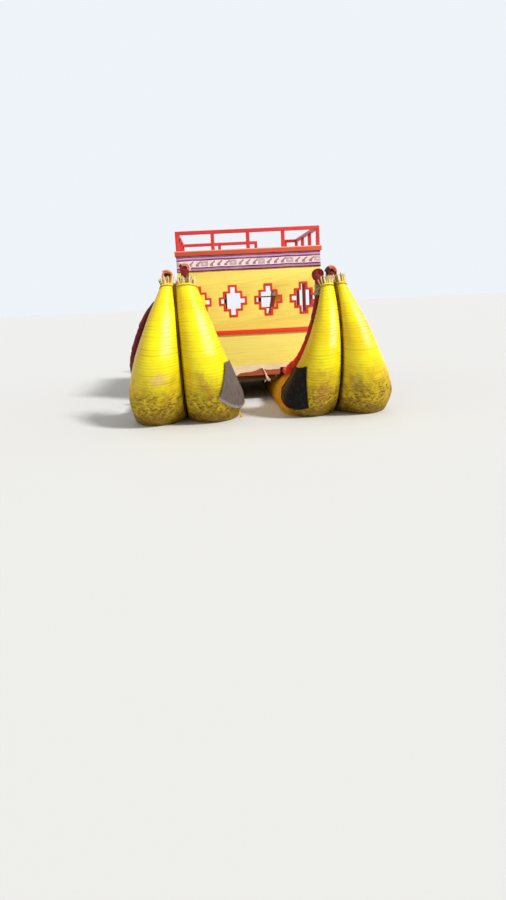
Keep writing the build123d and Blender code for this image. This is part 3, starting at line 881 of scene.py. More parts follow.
# columns: bundle, distance along, distance round, half length, half width, colour, strength
worn_spots = [
    ("port_outer", -4.405, 2.290, 0.070, 0.150, (230, 190, 140), 0.62),
    ("port_inner", -4.370, 2.130, 0.090, 0.120, (190, 146, 50), 0.60),
    ("port_inner", -4.250, 2.190, 0.060, 0.150, (176, 128, 40), 0.60),
    ("starboard_inner", -4.050, 2.310, 0.150, 0.120, (190, 134, 66), 0.65),
    ("starboard_inner", -4.330, 2.230, 0.060, 0.140, (186, 146, 40), 0.50),
    ("starboard_outer", -4.130, 2.040, 0.150, 0.130, (110, 76, 26), 0.65),
    ("starboard_outer", -4.200, 2.000, 0.050, 0.055, (226, 196, 90), 0.55),
]


def shifted(tree, vector, settings):
    return node(tree, "ShaderNodeMapping", {"Vector": vector, **settings}).outputs["Vector"]


def scratches(tree, surface, turn, fineness, low, high):
    """Mask of long thin flecks: noise drawn out along a line that is turned on the surface."""
    turned = shifted(tree, surface, {"Rotation": (0.0, 0.0, turn)})
    return span(tree, drawn_noise(tree, turned, (fineness, fineness * 0.30, 1.0), 4.0, 0.6), low, high)


def spot(tree, surface, ragged, centre, half):
    """Mask of an oval on the surface: 1 within it, with an edge that noise makes ragged."""
    scale = (1 / half[0], 1 / half[1], 0.0)
    moved = (-centre[0] * scale[0], -centre[1] * scale[1], 0.0)
    local = shifted(tree, surface, {"Scale": scale, "Location": moved})
    away = node(tree, "ShaderNodeVectorMath", {0: local}, operation="LENGTH").outputs["Value"]
    return span(tree, plus(tree, away, times(tree, ragged, 5.0)), 0.35, 1.45, 1.0, 0.0)


def dirt_below(tree, low, high, ragged, scale):
    return use_group(tree, low_dirt, {"Low": low, "High": high, "Ragged": ragged, "Scale": scale})


def winding_material(bundle, shift):
    """Colours laid one over another, each where its mask says, from clean rope down to wet rope."""
    material, tree, shader = new_material(bundle + "_rope", 0.46, 0.34)
    here, surface = object_place(tree), uv_place(tree)
    moved = shifted(tree, here, {"Location": (shift, 2 * shift, 0.0)})
    cloudy = span(tree, noise(tree, moved, 1.7, 4.0), 0.35, 0.68)
    colour = blend_colour(tree, cloudy, srgb(*clean_rope[0]), srgb(*clean_rope[1]))
    threads = span(tree, drawn_noise(tree, surface, (190.0, 5.0, 1.0)), 0.54, 0.78, 0.0, 0.40)
    colour = tint(tree, colour, threads, thread_gold)
    # Painted shade: the side of each bundle that looks to port, away from the sun, is tinted golden.
    toward_x = math_node(tree, "COSINE", divided(tree, axis_of(tree, surface, "Y"), bundle_radius))
    colour = tint(tree, colour, span(tree, toward_x, -0.30, -0.95, 0.0, 0.60), painted_shade_gold)
    # Painted highlight: pale rings high on the sweep, on the side that faces the sun.
    sunward_side = span(tree, off(tree, toward_x, 0.42), 0.42, 0.05)
    high_up = span(tree, off(tree, axis_of(tree, here, "Z"), painted_highlight_height), 0.50, 0.10)
    rings = span(tree, drawn_noise(tree, surface, (46.0, 1.5, 1.0), 2.0), 0.36, 0.62, 0.10, 0.62)
    colour = tint(tree, colour, times(tree, sunward_side, high_up, rings), painted_highlight_rope)
    shaded = span(tree, noise(tree, moved, 6.0, 6.0, 0.7), 0.40, 0.60)
    golden = blend_colour(tree, shaded, srgb(*low_rope[0]), srgb(*low_rope[1]))
    low = dirt_below(tree, 0.26, 1.12, 0.9, 2.4)
    colour = blend_colour(tree, times(tree, low, 0.92), colour, golden)
    frayed_part = dirt_below(tree, 0.34, 0.76, 0.7, 3.0)
    flecks = larger(tree, scratches(tree, surface, 0.34, 30.0, 0.53, 0.60),
                    scratches(tree, surface, -0.62, 24.0, 0.54, 0.61))
    frays = times(tree, flecks, frayed_part)
    colour = tint(tree, colour, frays, dark_fray, 0.80)
    bright = times(tree, scratches(tree, surface, -0.15, 34.0, 0.54, 0.62), frayed_part)
    colour = tint(tree, colour, bright, pale_fray, 0.65)
    colour = tint(tree, colour, dirt_below(tree, 0.05, 0.36, 0.18, 5.0), wet_rope, 0.70)
    # Painted reflected light: an orange tint on the starboard inner bundle's inboard side near the
    # stern, in the shade under the deck.
    if bundle == "starboard_inner":
        bounce_light = times(tree, span(tree, axis_of(tree, here, "X"), 0.84, 0.52),
                        span(tree, axis_of(tree, here, "Z"), 0.75, 0.35),
                        span(tree, axis_of(tree, here, "Y"), -3.80, -3.45))
        colour = tint(tree, colour, bounce_light, bounce_light_orange)
    ragged = minus(tree, drawn_noise(tree, surface, (38.0, 11.0, 1.0), 5.0, 0.7), 0.5)
    for name, along, round_it, half_length, half_width, worn, strength in worn_spots:
        if name == bundle:
            mask = spot(tree, surface, ragged, (along, round_it), (half_length, half_width))
            colour = tint(tree, colour, mask, worn, strength)
    # Painted shade in the grooves between the turns, stronger low down.
    groove_shade_mask = times(tree, mark_of(tree, "groove"), span(tree, low, 0.0, 1.0, 0.30, 0.62))
    colour = tint(tree, colour, groove_shade_mask, groove_shade_brown)
    strands = drawn_noise(tree, surface, (420.0, 12.0, 1.0), 2.0)
    relief = plus(tree, times(tree, strands, 0.4), minus(tree, bright, frays))
    finish_material(tree, shader, colour, span(tree, low, 0.0, 1.0, 0.31, 0.74), relief, 0.006, 0.8)
    return material


for number, (name, shape) in enumerate(bundles.items()):
    piece = wound_bundle(name, shape, 40 + number, winding_material(name, 3.0 * number))
    print(name, "bundle", len(piece.data.polygons), "faces")

# %% [markdown]
# ## Edge rolls
# On the deck side of every bundle lies a roll of reed covered in red cloth, which runs on past the
# tip and ends in a curled knob. The roll is a round profile carried along a path on the bundle. Its
# cloth is wound at a slant, so its radius has a helical step, and cords bind it at even spaces. On
# the starboard inner bundle the cloth has slipped down and bunched up just above the deck.

# %% Roll path
roll_gap = 0.0003
roll_ease = 0.034
lean_peak = 0.8
roll_height = 0.5783         # of the roll's axis amidships
lean_straight = math.acos((roll_height - axis_height) / (bundle_radius + roll_radius + roll_gap))


def roll_path(s, shape):
    """Axis of an edge roll: hull axis + reach (side sin lean across, cos lean deckward).

    The lean turns from the deck's to the sweep's as a squared sine, and near the tip to the tip's.
    Past the tip the path runs straight on.
    """
    up_sweep, at_tip = math.radians(shape.sweep_lean), math.radians(shape.end_lean)
    inside = np.clip(s, -reach_of(shape), reach_of(shape))
    axis, radius, deckward, share = hull_line(inside, shape)
    rise = np.sin(np.minimum(1.0, share / lean_peak) * math.pi / 2) ** 2
    fall = np.maximum(0.0, (share - lean_peak) / (1 - lean_peak)) ** 2
    lean = lean_straight + (up_sweep - lean_straight) * rise - (up_sweep - at_tip) * fall
    reach = radius + roll_radius + roll_gap + roll_ease * np.minimum(1.0, share / 0.1)
    aside = (reach * np.sin(lean) * shape.side)[:, None] * across_boat
    path = axis + aside + (reach * np.cos(lean))[:, None] * deckward
    return path + (np.abs(s) - np.abs(inside))[:, None] * tipward_of(s, deckward)


def tube_points(path, radius, v):
    """Tube round a path: path + radius in each direction round it, with a radius for each point."""
    run = unit(np.gradient(path, axis=0))
    first = unit(across_boat - run[:, :1] * run)
    second = np.cross(run, first)
    return path[:, None] + radius[..., None] * direction(v, first[:, None], second[:, None])


# %% Edge rolls
roll_step = 0.020
roll_around = 22
cloth_pitch = 0.23
bind_pitch = 0.46
cloth_step = 0.006
pinch_depth = 0.009
bunch_s = -3.42            # where the starboard inner roll's cloth has bunched up
bunch_length = 0.19
bunch_swell = 0.060


def edge_roll(name, shape, seed, material):
    """Slanted cloth turns, cord bindings and a rounded end at each knob."""
    reach = reach_of(shape) + shape.run_on
    s = np.linspace(-reach, reach, int(2 * reach / roll_step))
    v = np.linspace(0, full_turn, roll_around, endpoint=False)
    s_grid, v_grid = np.meshgrid(s, v, indexing="ij")
    slant = np.mod(s_grid / cloth_pitch + v_grid / full_turn, 1.0)
    step = cloth_step * (1 - slant) * smooth_step(slant / 0.12)
    bind = np.abs(np.mod(s_grid / bind_pitch + 0.5, 1.0) - 0.5) * bind_pitch
    pinch = pinch_depth * np.exp(-(bind / 0.020) ** 2)
    creases = 0.003 * waves(s_grid * 14 + 3 * v_grid, 4, 0.8, 2.0, seed)
    radius = roll_radius - cloth_step + step - pinch + creases
    if name == "starboard_inner":
        bunch = np.exp(-((s_grid - bunch_s) / bunch_length) ** 2)
        radius = radius + bunch * (bunch_swell + 0.008 * np.sin(5 * v_grid + 9 * s_grid))
    toward_end = reach - np.abs(s_grid)
    radius = radius * np.sqrt(np.clip(toward_end / 0.035, 0.02, 1.0))
    points = tube_points(roll_path(s, shape), radius, v)
    uv = grid_of(s, np.linspace(0, full_turn * roll_radius, roll_around + 1))
    # The groove mark feeds painted shade at the bindings and under each step of the cloth.
    marks = {"groove": np.clip(pinch / pinch_depth + 0.6 * (1 - smooth_step(slant / 0.10)), 0, 1)}
    mesh = grid_mesh(name + "_roll_cloth", points, ring=True, caps=True, uv=uv, marks=marks)
    place(name + "_roll_cloth", mesh, material, "roll_cloth", [name + "_edge_roll"])


def cloth_material(name, deep, bright, low=0.55, high=1.5, fade=0.30):
    """Cloth, bright low on the sweep and deep above, faded in patches, woven, with painted shade in
    folds.
    """
    material, tree, shader = new_material(name, 0.85, 0.2)
    shader.inputs["Sheen Weight"].default_value = 0.12
    shader.inputs["Sheen Roughness"].default_value = 0.6
    here, surface = object_place(tree), uv_place(tree)
    deep, bright = srgb(*deep), srgb(*bright)
    colour = blend_colour(tree, dirt_below(tree, low, high, 0.5, 3.0), deep, bright)
    faded = span(tree, noise(tree, here, 8.0, 5.0, 0.65), 0.50, 0.76)
    pale = tuple(min(1.0, c * 1.5 + 0.02) for c in bright[:3]) + (1.0,)
    colour = blend_colour(tree, times(tree, faded, fade), colour, pale)
    colour = blend_colour(tree, times(tree, mark_of(tree, "groove"), 0.55), colour, fold_shadow)
    threads = use_group(tree, weave, {"Vector": surface, "Threads": 260.0})
    folds = drawn_noise(tree, surface, (6.0, 30.0, 1.0), 4.0)
    relief = plus(tree, times(tree, threads, 0.35), folds)
    finish_material(tree, shader, colour, None, relief, 0.004, 0.6)
    return material


fold_shadow = (0.015, 0.006, 0.006, 1.0)
roll_cloths = {
    "port_outer": cloth_material("maroon_cloth", (108, 16, 20), (126, 16, 30)),
    "port_inner": cloth_material("maroon_cloth_worn", (124, 22, 24), (150, 34, 30)),
    "starboard_inner": cloth_material("red_cloth", (136, 34, 26), (232, 40, 10), 0.8, 1.8, 0.06),
    "starboard_outer": cloth_material("red_cloth_worn", (120, 30, 28), (160, 44, 36)),
}
for number, (name, shape) in enumerate(bundles.items()):
    edge_roll(name, shape, 60 + number, roll_cloths[name])
print("edge rolls done")

# %% [markdown]
# ## Curled knobs
# Each roll ends in a scroll: a strip of cloth rolled up on itself across the boat's length, so its
# coiled edge faces astern. It is an Archimedes spiral, whose radius grows evenly with the angle,
# drawn out to the strip's width. The lining is paler than the outside. Some knobs take a second
# cloth on part of the strip: the dark core of the port outer knob is painted shade, and the pale
# turns that face up towards the sun on the port inner and starboard outer knobs are a painted
# highlight.

# %% Curled knobs
knob_turns = 3.3
knob_core = 0.003
knob_half_width = 0.066
# The pink lining is a painted highlight. The dark lining is a knob's own cloth and painted shade in a
# core; the salmon lining is a lining and a painted highlight.
salmon_cloth_and_highlight = cloth_material("salmon_lining_and_highlight", (236, 134, 96), (240, 150, 112))
pink_highlight_cloth = cloth_material("pink_highlight_lining", (238, 176, 160), (240, 180, 160))
deep_cloth = cloth_material("deep_red_lining", (150, 20, 24), (170, 36, 36))
dark_cloth_and_shade = cloth_material("dark_lining_and_shade", (70, 20, 16), (80, 26, 20))
red_lining = cloth_material("red_lining", (168, 22, 30), (180, 30, 36))
tan_cloth = cloth_material("tan_reed_end", (186, 142, 92), (190, 146, 96))

# columns: bundle, cloth, second cloth and where it shows, turn of the loose edge
# The dark core of the port outer knob is painted shade; a second cloth on the right is a painted
# highlight.
knobs = [
    ("port_outer", salmon_cloth_and_highlight, dark_cloth_and_shade, "core", 0.4),
    ("port_inner", deep_cloth, pink_highlight_cloth, "right", 0.9),
    ("starboard_inner", roll_cloths["port_outer"], red_lining, "core", 2.2),
    ("starboard_outer", dark_cloth_and_shade, salmon_cloth_and_highlight, "right", 1.2),
]


def scroll(name, centre, end, turn, outer, half_width, cloths, where):
    """Spiral sheet about Y: radius = core + (outer - core) angle / whole angle, wider outside."""
    angle = np.linspace(0, knob_turns * full_turn, 110)
    wide = np.linspace(-1, 1, 9)
    a_grid, w_grid = np.meshgrid(angle, wide, indexing="ij")
    share = a_grid / angle[-1]
    radius = knob_core + (outer - knob_core) * share + 0.003 * np.sin(4 * a_grid + 2 * w_grid) * share
    radius = radius - 0.16 * outer * w_grid ** 2 * share
    half = half_width * (0.62 + 0.38 * share)
    turned = a_grid + turn
    points = np.stack([radius * np.cos(turned), end * half * w_grid, radius * np.sin(turned)], -1)
    uv = np.stack([a_grid * 0.05, w_grid * half_width], -1)
    mesh = grid_mesh(name, points + centre, uv=uv)
    piece = place(name, mesh, cloths[0], "roll_cloth")
    mesh.materials.append(cloths[1])
    # The second cloth takes the core, or the outer turns that face up to starboard, towards the sun,
    # where it is a painted highlight.
    share, facing = share[:-1, :-1].ravel(), np.cos(turned - 0.8)[:-1, :-1].ravel()
    second = share < 0.62 if where == "core" else (share > 0.55) & (facing > 0.25)
    mesh.polygons.foreach_set("material_index", second.astype(np.int32))
    thicken(piece, 0.84 * outer / knob_turns, -1.0)


for name, outer_cloth, second_cloth, where, turn in knobs:
    shape = bundles[name]
    reach = reach_of(shape) + shape.run_on
    for end, end_name in ends:
        centre = roll_path(np.array([end * (reach - 0.02), end * reach]), shape)[1]
        scroll(f"{name}_{end_name}_scroll", centre, end, turn, knob_radius - 0.004, knob_half_width,
               (outer_cloth, second_cloth), where)

seam_scroll_radius, seam_scroll_half = 0.056, 0.045
for hull, hull_name in hulls:
    for end, end_name in ends:
        tips = [hull_line(np.array([end * reach_of(shape)]), shape)[0][0] for shape in pair_of(hull)]
        centre = (tips[0] + tips[1]) / 2 + np.array([0.0, 0.0, -0.015])
        centre[0] = hull * (hull_seam_x - tip_lean[hull])
        scroll(f"{hull_name}_{end_name}_seam_end", centre, end, 0.5, seam_scroll_radius,
               seam_scroll_half, (tan_cloth, tan_cloth), "core")
print("scrolls done")

# %% [markdown]
# ## Cut reed ends
# At a tip the reeds are simply cut off and stand out as a ragged brush. They are laid out like the
# seeds of a sunflower, each turned by the golden angle from the last, which fills a disc evenly.
# Outer reeds lean out more. Some are cut square and some are split to a point.

# %% Reeds
golden_angle = math.pi * (3 - math.sqrt(5))
reeds_per_tip = 120
reed_radius = 0.0112
reed_shortest, reed_spread = 0.100, 0.085
brush_fill = 0.86                   # share of the tip's radius
brush_root = 0.03                   # how deep in the bundle a reed starts


def reed_brush(end, end_name, material, seed):
    """All reeds of one end of the boat, as tapered six-sided tubes."""
    rng = np.random.default_rng(seed)
    paths, radii = [], []
    for shape in bundles.values():
        s_tip = np.array([end * reach_of(shape)])
        axis, radius, deckward, _ = hull_line(s_tip, shape)
        tipward = tipward_of(s_tip, deckward)[0]
        count = np.arange(reeds_per_tip)
        share = np.sqrt((count + 0.5) / reeds_per_tip)
        outward = direction(count * golden_angle, across_boat, deckward[0])
        foot = axis[0] + brush_fill * radius[0] * share[:, None] * outward - brush_root * tipward
        lean = outward * (0.20 * share ** 3)[:, None] + 0.10 * rng.standard_normal((reeds_per_tip, 3))
        length = reed_shortest + reed_spread * rng.random(reeds_per_tip)
        steps = np.array([0.0, 0.45, 0.8, 1.0])[None, :, None]
        paths.append(foot[:, None] + steps * (length[:, None] * unit(tipward + lean))[:, None])
        split = rng.random(reeds_per_tip) < 0.5
        taper = np.where(split[:, None], [[1.0, 1.0, 0.8, 0.12]], [[1.0, 0.95, 0.9, 0.85]])
        radii.append(reed_radius * (0.75 + 0.5 * rng.random(reeds_per_tip))[:, None] * taper)
    name = end_name + "_reeds"
    mesh = strands_mesh(name, np.concatenate(paths), np.concatenate(radii), 6, across_boat)
    shade_faces(mesh, False)
    return place(name, mesh, material, "cut_reed", [end_name + "_tufts"])


# columns: the share of islands where an odd colour starts, where it is full, and the colour
odd_reeds = [(0.66, 0.68, (150, 128, 44)), (0.80, 0.82, (104, 72, 40)), (0.93, 0.94, (240, 214, 196))]


def reed_material():
    material, tree, shader = new_material("cut_reed", 0.8, 0.25)
    own = island_share(tree)
    pale = blend_colour(tree, span(tree, own, 0.0, 0.8), srgb(214, 184, 110), srgb(252, 240, 208))
    up = span(tree, mark_of(tree, "along"), 0.10, 0.45)
    colour = blend_colour(tree, up, srgb(226, 204, 60), pale)
    for start, full, odd in odd_reeds:
        colour = tint(tree, colour, span(tree, own, start, full), odd)
    fibres = drawn_noise(tree, object_place(tree), (160.0, 160.0, 20.0))
    colour = tint(tree, colour, span(tree, fibres, 0.5, 0.7, 0.0, 0.4), (150, 128, 70))
    finish_material(tree, shader, colour, None, fibres, 0.001, 0.5)
    return material


reed = reed_material()
for (end, end_name), seed in zip(ends, (5, 6)):
    piece = reed_brush(end, end_name, reed, seed)
    print(piece.name, len(piece.data.polygons), "faces")

# %% [markdown]
# ## Cords
# Just below each tip a cord ties the roll to its bundle, and above it the roll's cloth is whipped.
# A cord pulled tight round two rounds follows the edge of both: for every direction it touches the
# one that reaches further that way. Coils also hold the beams where they leave the hulls.

# %% Cords
cord_radius = 0.0055
cord_out = 0.6 * cord_radius        # from the surface to the cord's middle, as it beds in
tie_turns = 2
tie_from_tip = 0.035
whipping_turns = 11
whipping_pitch = 0.017
whipping_radius = 0.0072
whipping_from_tip = 0.13
beam_places = np.linspace(-1.5, 2.1, 5)
beam_radius = 0.060
beam_height = 0.450
coil_turns = 6
coil_pitch = 0.0115
coil_x = (0.415, 2.102)             # between a bearer and a bundle, and outside the bundles
upward = np.array([0.0, 0.0, 1.0])


def lay_cords(name, paths, radius, material, slot, across, sides=6):
    radii = np.full(paths.shape[:2], radius)
    place(name, strands_mesh(name, paths, radii, sides, across), material, slot)


def tie_path(shape, end):
    """Coils round a bundle and its roll: in each direction n, the furthest of the two circles."""
    turn = np.linspace(0, tie_turns * full_turn, tie_turns * 34)
    along = 2.1 * cord_radius * (turn / full_turn - tie_turns / 2)
    s = end * (reach_of(shape) - tie_from_tip + along)
    axis, radius, deckward, _ = hull_line(s, shape)
    roll = roll_path(s, shape) - axis
    aside, above = roll[:, 0], (roll * deckward).sum(1)
    cos, sin = np.cos(turn), np.sin(turn)
    on_roll = aside * cos + above * sin + roll_radius > radius
    x = np.where(on_roll, aside + roll_radius * cos, radius * cos) + cord_out * cos
    d = np.where(on_roll, above + roll_radius * sin, radius * sin) + cord_out * sin
    return axis + x[:, None] * across_boat + d[:, None] * deckward


def whipping_path(shape, end):
    """Coil round a roll, of even pitch."""
    turn = np.linspace(0, whipping_turns * full_turn, whipping_turns * 18)
    s = end * (reach_of(shape) - whipping_from_tip + whipping_pitch * turn / full_turn)
    axis = roll_path(s, shape)
    run = unit(axis[-1] - axis[0])
    first = unit(across_boat - run[0] * run)
    second = np.cross(run, first)
    return axis + (roll_radius + cord_out) * direction(turn, first, second)


def beam_coils():
    """Coils round the beams: one helix about X, moved to each place where a beam leaves a hull."""
    turn = np.linspace(0, coil_turns * full_turn, coil_turns * 20)
    out = beam_radius + 0.004
    along = coil_pitch * (turn / full_turn - coil_turns / 2)
    helix = np.stack([along, out * np.cos(turn), out * np.sin(turn)], -1)
    centres = [(side * x, y, beam_height) for y in beam_places for side in (-1, 1) for x in coil_x]
    return np.array(centres)[:, None] + helix


def cord_material(name, pale, deep):
    material, tree, shader = new_material(name, 0.85, 0.2)
    here = object_place(tree)
    twist = span(tree, noise(tree, here, 60.0, 4.0), 0.35, 0.65)
    colour = blend_colour(tree, twist, srgb(*deep), srgb(*pale))
    finish_material(tree, shader, colour, None, noise(tree, here, 300.0, 2.0), 0.001, 0.5)
    return material


grey_cord = cord_material("grey_cord", (196, 186, 168), (120, 110, 96))
tan_cord = cord_material("tan_cord", (222, 190, 60), (150, 112, 40))
brown_cord = cord_material("brown_cord", (170, 140, 92), (104, 80, 48))
tips = [(shape, end) for shape in bundles.values() for end, _ in ends]
ties = np.stack([tie_path(shape, end) for shape, end in tips])
whippings = np.stack([whipping_path(shape, end) for shape, end in tips])
coils = beam_coils()
lay_cords("tip_ties", ties, cord_radius, tan_cord, "bundle_wrap", upward)
lay_cords("roll_whippings", whippings, whipping_radius, grey_cord, "roll_cloth", upward)
lay_cords("beam_coils", coils, cord_radius, brown_cord, "pole_timber", across_boat)
print("cords:", len(ties), "ties and", len(coils), "coils")

# %% [markdown]
# Loose fibres hang where rope and canvas have frayed: pale ones from the torn facing, yellow ones at
# the port hull's waterline. They are bunches of thin strands that follow one line each and spread
# as they go.

# %% Frayed fibres
def frayed(name, line, spread, count, radius, material, slot, seed):
    """Bunch of strands: the line's points by linear interpolation, plus a spread that grows down it."""
    rng = np.random.default_rng(seed)
    line = np.array(line)
    steps = np.linspace(0, len(line) - 1, 14)
    middle = np.stack([np.interp(steps, np.arange(len(line)), line[:, k]) for k in range(3)], -1)
    grown = (steps / steps[-1])[None, :, None] ** 1.3
    aside = spread * rng.standard_normal((count, 1, 3)) * (1.0, 0.35, 0.6) * grown
    shake = 0.10 * spread * rng.standard_normal((count, len(steps), 3))
    paths = middle[None] + aside + shake
    radii = np.full(paths.shape[:2], radius) * np.linspace(1.0, 0.5, len(steps))
    place(name, strands_mesh(name, paths, radii, 5, across_boat + 0.3 * upward), material, slot)


white_fibre = cord_material("white_fibre", (255, 244, 226), (226, 200, 168))
yellow_fibre = cord_material("yellow_fibre", (240, 214, 40), (200, 160, 24))
# columns: name, points of the line, spread, strands, radius, fibre, slot, seed
fibre_bunches = [
    ("facing_fibres", [(0.180, -1.684, 0.642), (0.214, -1.690, 0.58), (0.250, -1.700, 0.47),
                       (0.300, -1.708, 0.395)], 0.016, 16, 0.0045, white_fibre, "bare_timber", 8),
    ("facing_wisps", [(0.258, -1.700, 0.455), (0.225, -1.706, 0.405), (0.205, -1.708, 0.385)],
     0.014, 7, 0.004, white_fibre, "bare_timber", 9),
    ("waterline_fibres", [(-0.372, -3.44, 0.20), (-0.392, -3.45, 0.14), (-0.401, -3.45, 0.07),
                          (-0.352, -3.45, 0.004)], 0.020, 12, 0.005, yellow_fibre, "bundle_wrap", 10),
]
for row in fibre_bunches:
    frayed(*row)
print("fibres done")

# %% [markdown]
# ## Beams and seam fillers
# The cross beams are round poles with the bark off, and the fillers in the groove between two
# bundles are wrapped in brown cloth, kept dark partly as painted shade of the crease. Both keep the
# frame's surface and are only smoothed. Up each sweep a thin dark bar closes the gap between two
# bundles: a dark piece put where there is only shade.

# %% Poles and fillers
def smooth_copy(name, material, slot):
    """Merged copy of a round node, with smooth faces and crisp ends."""
    mesh = merged_copy(name, "_skin")
    mesh.set_sharp_from_angle(angle=math.radians(40))
    place(name + "_skin", mesh, material, slot, [name])


def seam_shade_filler_material():
    # Dark brown cloth, dark partly as painted shade of the crease between two bundles.
    material, tree, shader = new_material("seam_cloth", 0.9, 0.15)
    here = object_place(tree)
    cloudy = span(tree, noise(tree, here, 5.0, 4.0), 0.35, 0.65)
    colour = blend_colour(tree, cloudy, srgb(66, 34, 12), srgb(116, 72, 18))
    finish_material(tree, shader, colour, None, noise(tree, here, 90.0, 3.0), 0.004, 0.6)
    return material


seam_shade_filler = seam_shade_filler_material()
smooth_copy("cross_beams", wood["pole_timber"], "pole_timber")
smooth_copy("port_seam_roll", seam_shade_filler, "seam_cloth")
smooth_copy("starboard_seam_roll", seam_shade_filler, "seam_cloth")
shade_bar_from = straight_half + 0.9      # distance from amidships
shade_bar_deep = 0.55                     # share of the thinner bundle's radius, each way


def lay_shade_bar(name, hull, end):
    """Thin dark bar in the gap between two bundles, up the sweep, standing in for the shade there: a
    flat profile carried along the curve.
    """
    pair = pair_of(hull)
    s = end * np.linspace(shade_bar_from, min(reach_of(shape) for shape in pair) - 0.04, 60)
    near, far = [hull_line(s, shape) for shape in pair]
    axis, radius, deckward, share = near
    middle = (axis + far[0]) / 2
    middle[:, 0] = hull * (hull_seam_x - tip_lean[hull] * share ** 3)
    depth = shade_bar_deep * np.minimum(radius, far[1])[:, None] * deckward
    half = (0.0005 + 0.011 * share ** 3)[:, None] * across_boat
    points = np.stack([middle - half - depth, middle + half - depth,
                       middle + half + depth, middle - half + depth], 1)
    mesh = grid_mesh(name, points[::-1] if end > 0 else points, ring=True, caps=True)
    place(name, mesh, seam_shade_filler, "seam_cloth")
    shade_faces(mesh, False)


for hull, hull_name in hulls:
    for end, end_name in ends:
        lay_shade_bar(f"{hull_name}_{end_name}_shade_bar", hull, end)
print("poles and fillers done")

# %% [markdown]
# ## Woven band
# A strip of handwoven cloth is tacked under the fascia, round the stern and both sides. It hangs
# free at its lower edge, so it ripples there: the ripple's height is waves along the strip, grown
# with the distance from the tacked edge. The pattern is woven in stripes, with a pale middle that
# carries small zigzag figures and a filled square every half metre.

# %% Woven band
cabin_half = 1.385
cabin_rear = -1.670
cabin_front = 1.630
band_top = 2.8627
band_drop = 0.2947
band_off = 0.0035
band_thick = 0.002
band_columns, band_rows = 520, 13
corner_bend = 0.018
figure_step = 0.137          # width of one stroke's cell
square_every = 0.548         # every fourth cell holds a square
figure_low, figure_tall = 0.345, 0.34      # shares of the drop
# columns: where a stripe starts, as a share of the drop, and its colour
stripes = [(0.00, (92, 36, 60)), (0.035, (206, 150, 190)), (0.075, (76, 30, 70)),
           (0.115, (204, 146, 198)), (0.225, (84, 44, 92)), (0.315, (250, 226, 230)),
           (0.70, (250, 240, 246)), (0.725, (72, 36, 84)), (0.80, (186, 110, 168)),
           (0.885, (206, 140, 172)), (0.92, (104, 28, 40))]


def band_line(t):
    """Place and outward direction at distance t along a U round the cabin, from starboard to port."""
    half, rear = cabin_half + band_off, cabin_rear - band_off
    stops = np.cumsum([0.0, cabin_front - rear, 2 * half, cabin_front - rear])
    x = np.interp(t, stops, [half, half, -half, -half])
    y = np.interp(t, stops, [cabin_front, rear, rear, cabin_front])
    first, second = [(stop - corner_bend, stop + corner_bend) for stop in stops[1:3]]
    turn = np.interp(t, [0, *first, *second, stops[3]],
                     [0, 0, -math.pi / 2, -math.pi / 2, -math.pi, -math.pi])
    return np.stack([x, y], -1), np.stack([np.cos(turn), np.sin(turn)], -1), stops[-1]


def woven_band():
    length = band_line(np.array([0.0]))[2]
    t = np.linspace(0, length, band_columns)
    h = np.linspace(0, 1, band_rows)
    t_grid, h_grid = np.meshgrid(t, h, indexing="ij")
    here, outward, _ = band_line(t)
    ripple = 0.5 + 0.5 * waves(t_grid * 3 + 0.6 * h_grid, 5, 1.5, 6.0, 21)
    ripple = ripple * h_grid ** 1.3 * 0.012
    drop = band_drop * h_grid + 0.003 * waves(t_grid * 5, 4, 0.8, 2.5, 22) * h_grid
    flat = here[:, None] + outward[:, None] * ripple[..., None]
    points = np.concatenate([flat, (band_top - drop)[..., None]], -1)
    uv = np.stack([t_grid, h_grid * band_drop], -1)
    return grid_mesh("band_cloth", points, uv=uv), length


def band_figures(tree, along, height):
    """Mask of the figures in a row of height 0 to 1.

    Each cell holds a stroke that climbs to one side and a bar at its head. In every fourth cell a
    square with a paler diamond takes their place.
    """
    cell = math_node(tree, "FRACT", divided(tree, along, figure_step))
    climb = plus(tree, times(tree, cell, 0.95), 0.10)
    stroke = times(tree, less(tree, off(tree, height, climb), 0.17), less(tree, cell, 0.74))
    bar = times(tree, less(tree, 0.60, height), less(tree, off(tree, cell, 0.50), 0.20))
    block = times(tree, math_node(tree, "FRACT", divided(tree, along, square_every)), square_every)
    square = less(tree, block, figure_step)
    from_middle = off(tree, divided(tree, block, figure_step), 0.5)
    diamond = less(tree, plus(tree, from_middle, off(tree, height, 0.5)), 0.22)
    filled = times(tree, minus(tree, square, times(tree, diamond, square, 0.6)), 0.62)
    return plus(tree, times(tree, larger(tree, stroke, bar), minus(tree, 1.0, square)), filled)


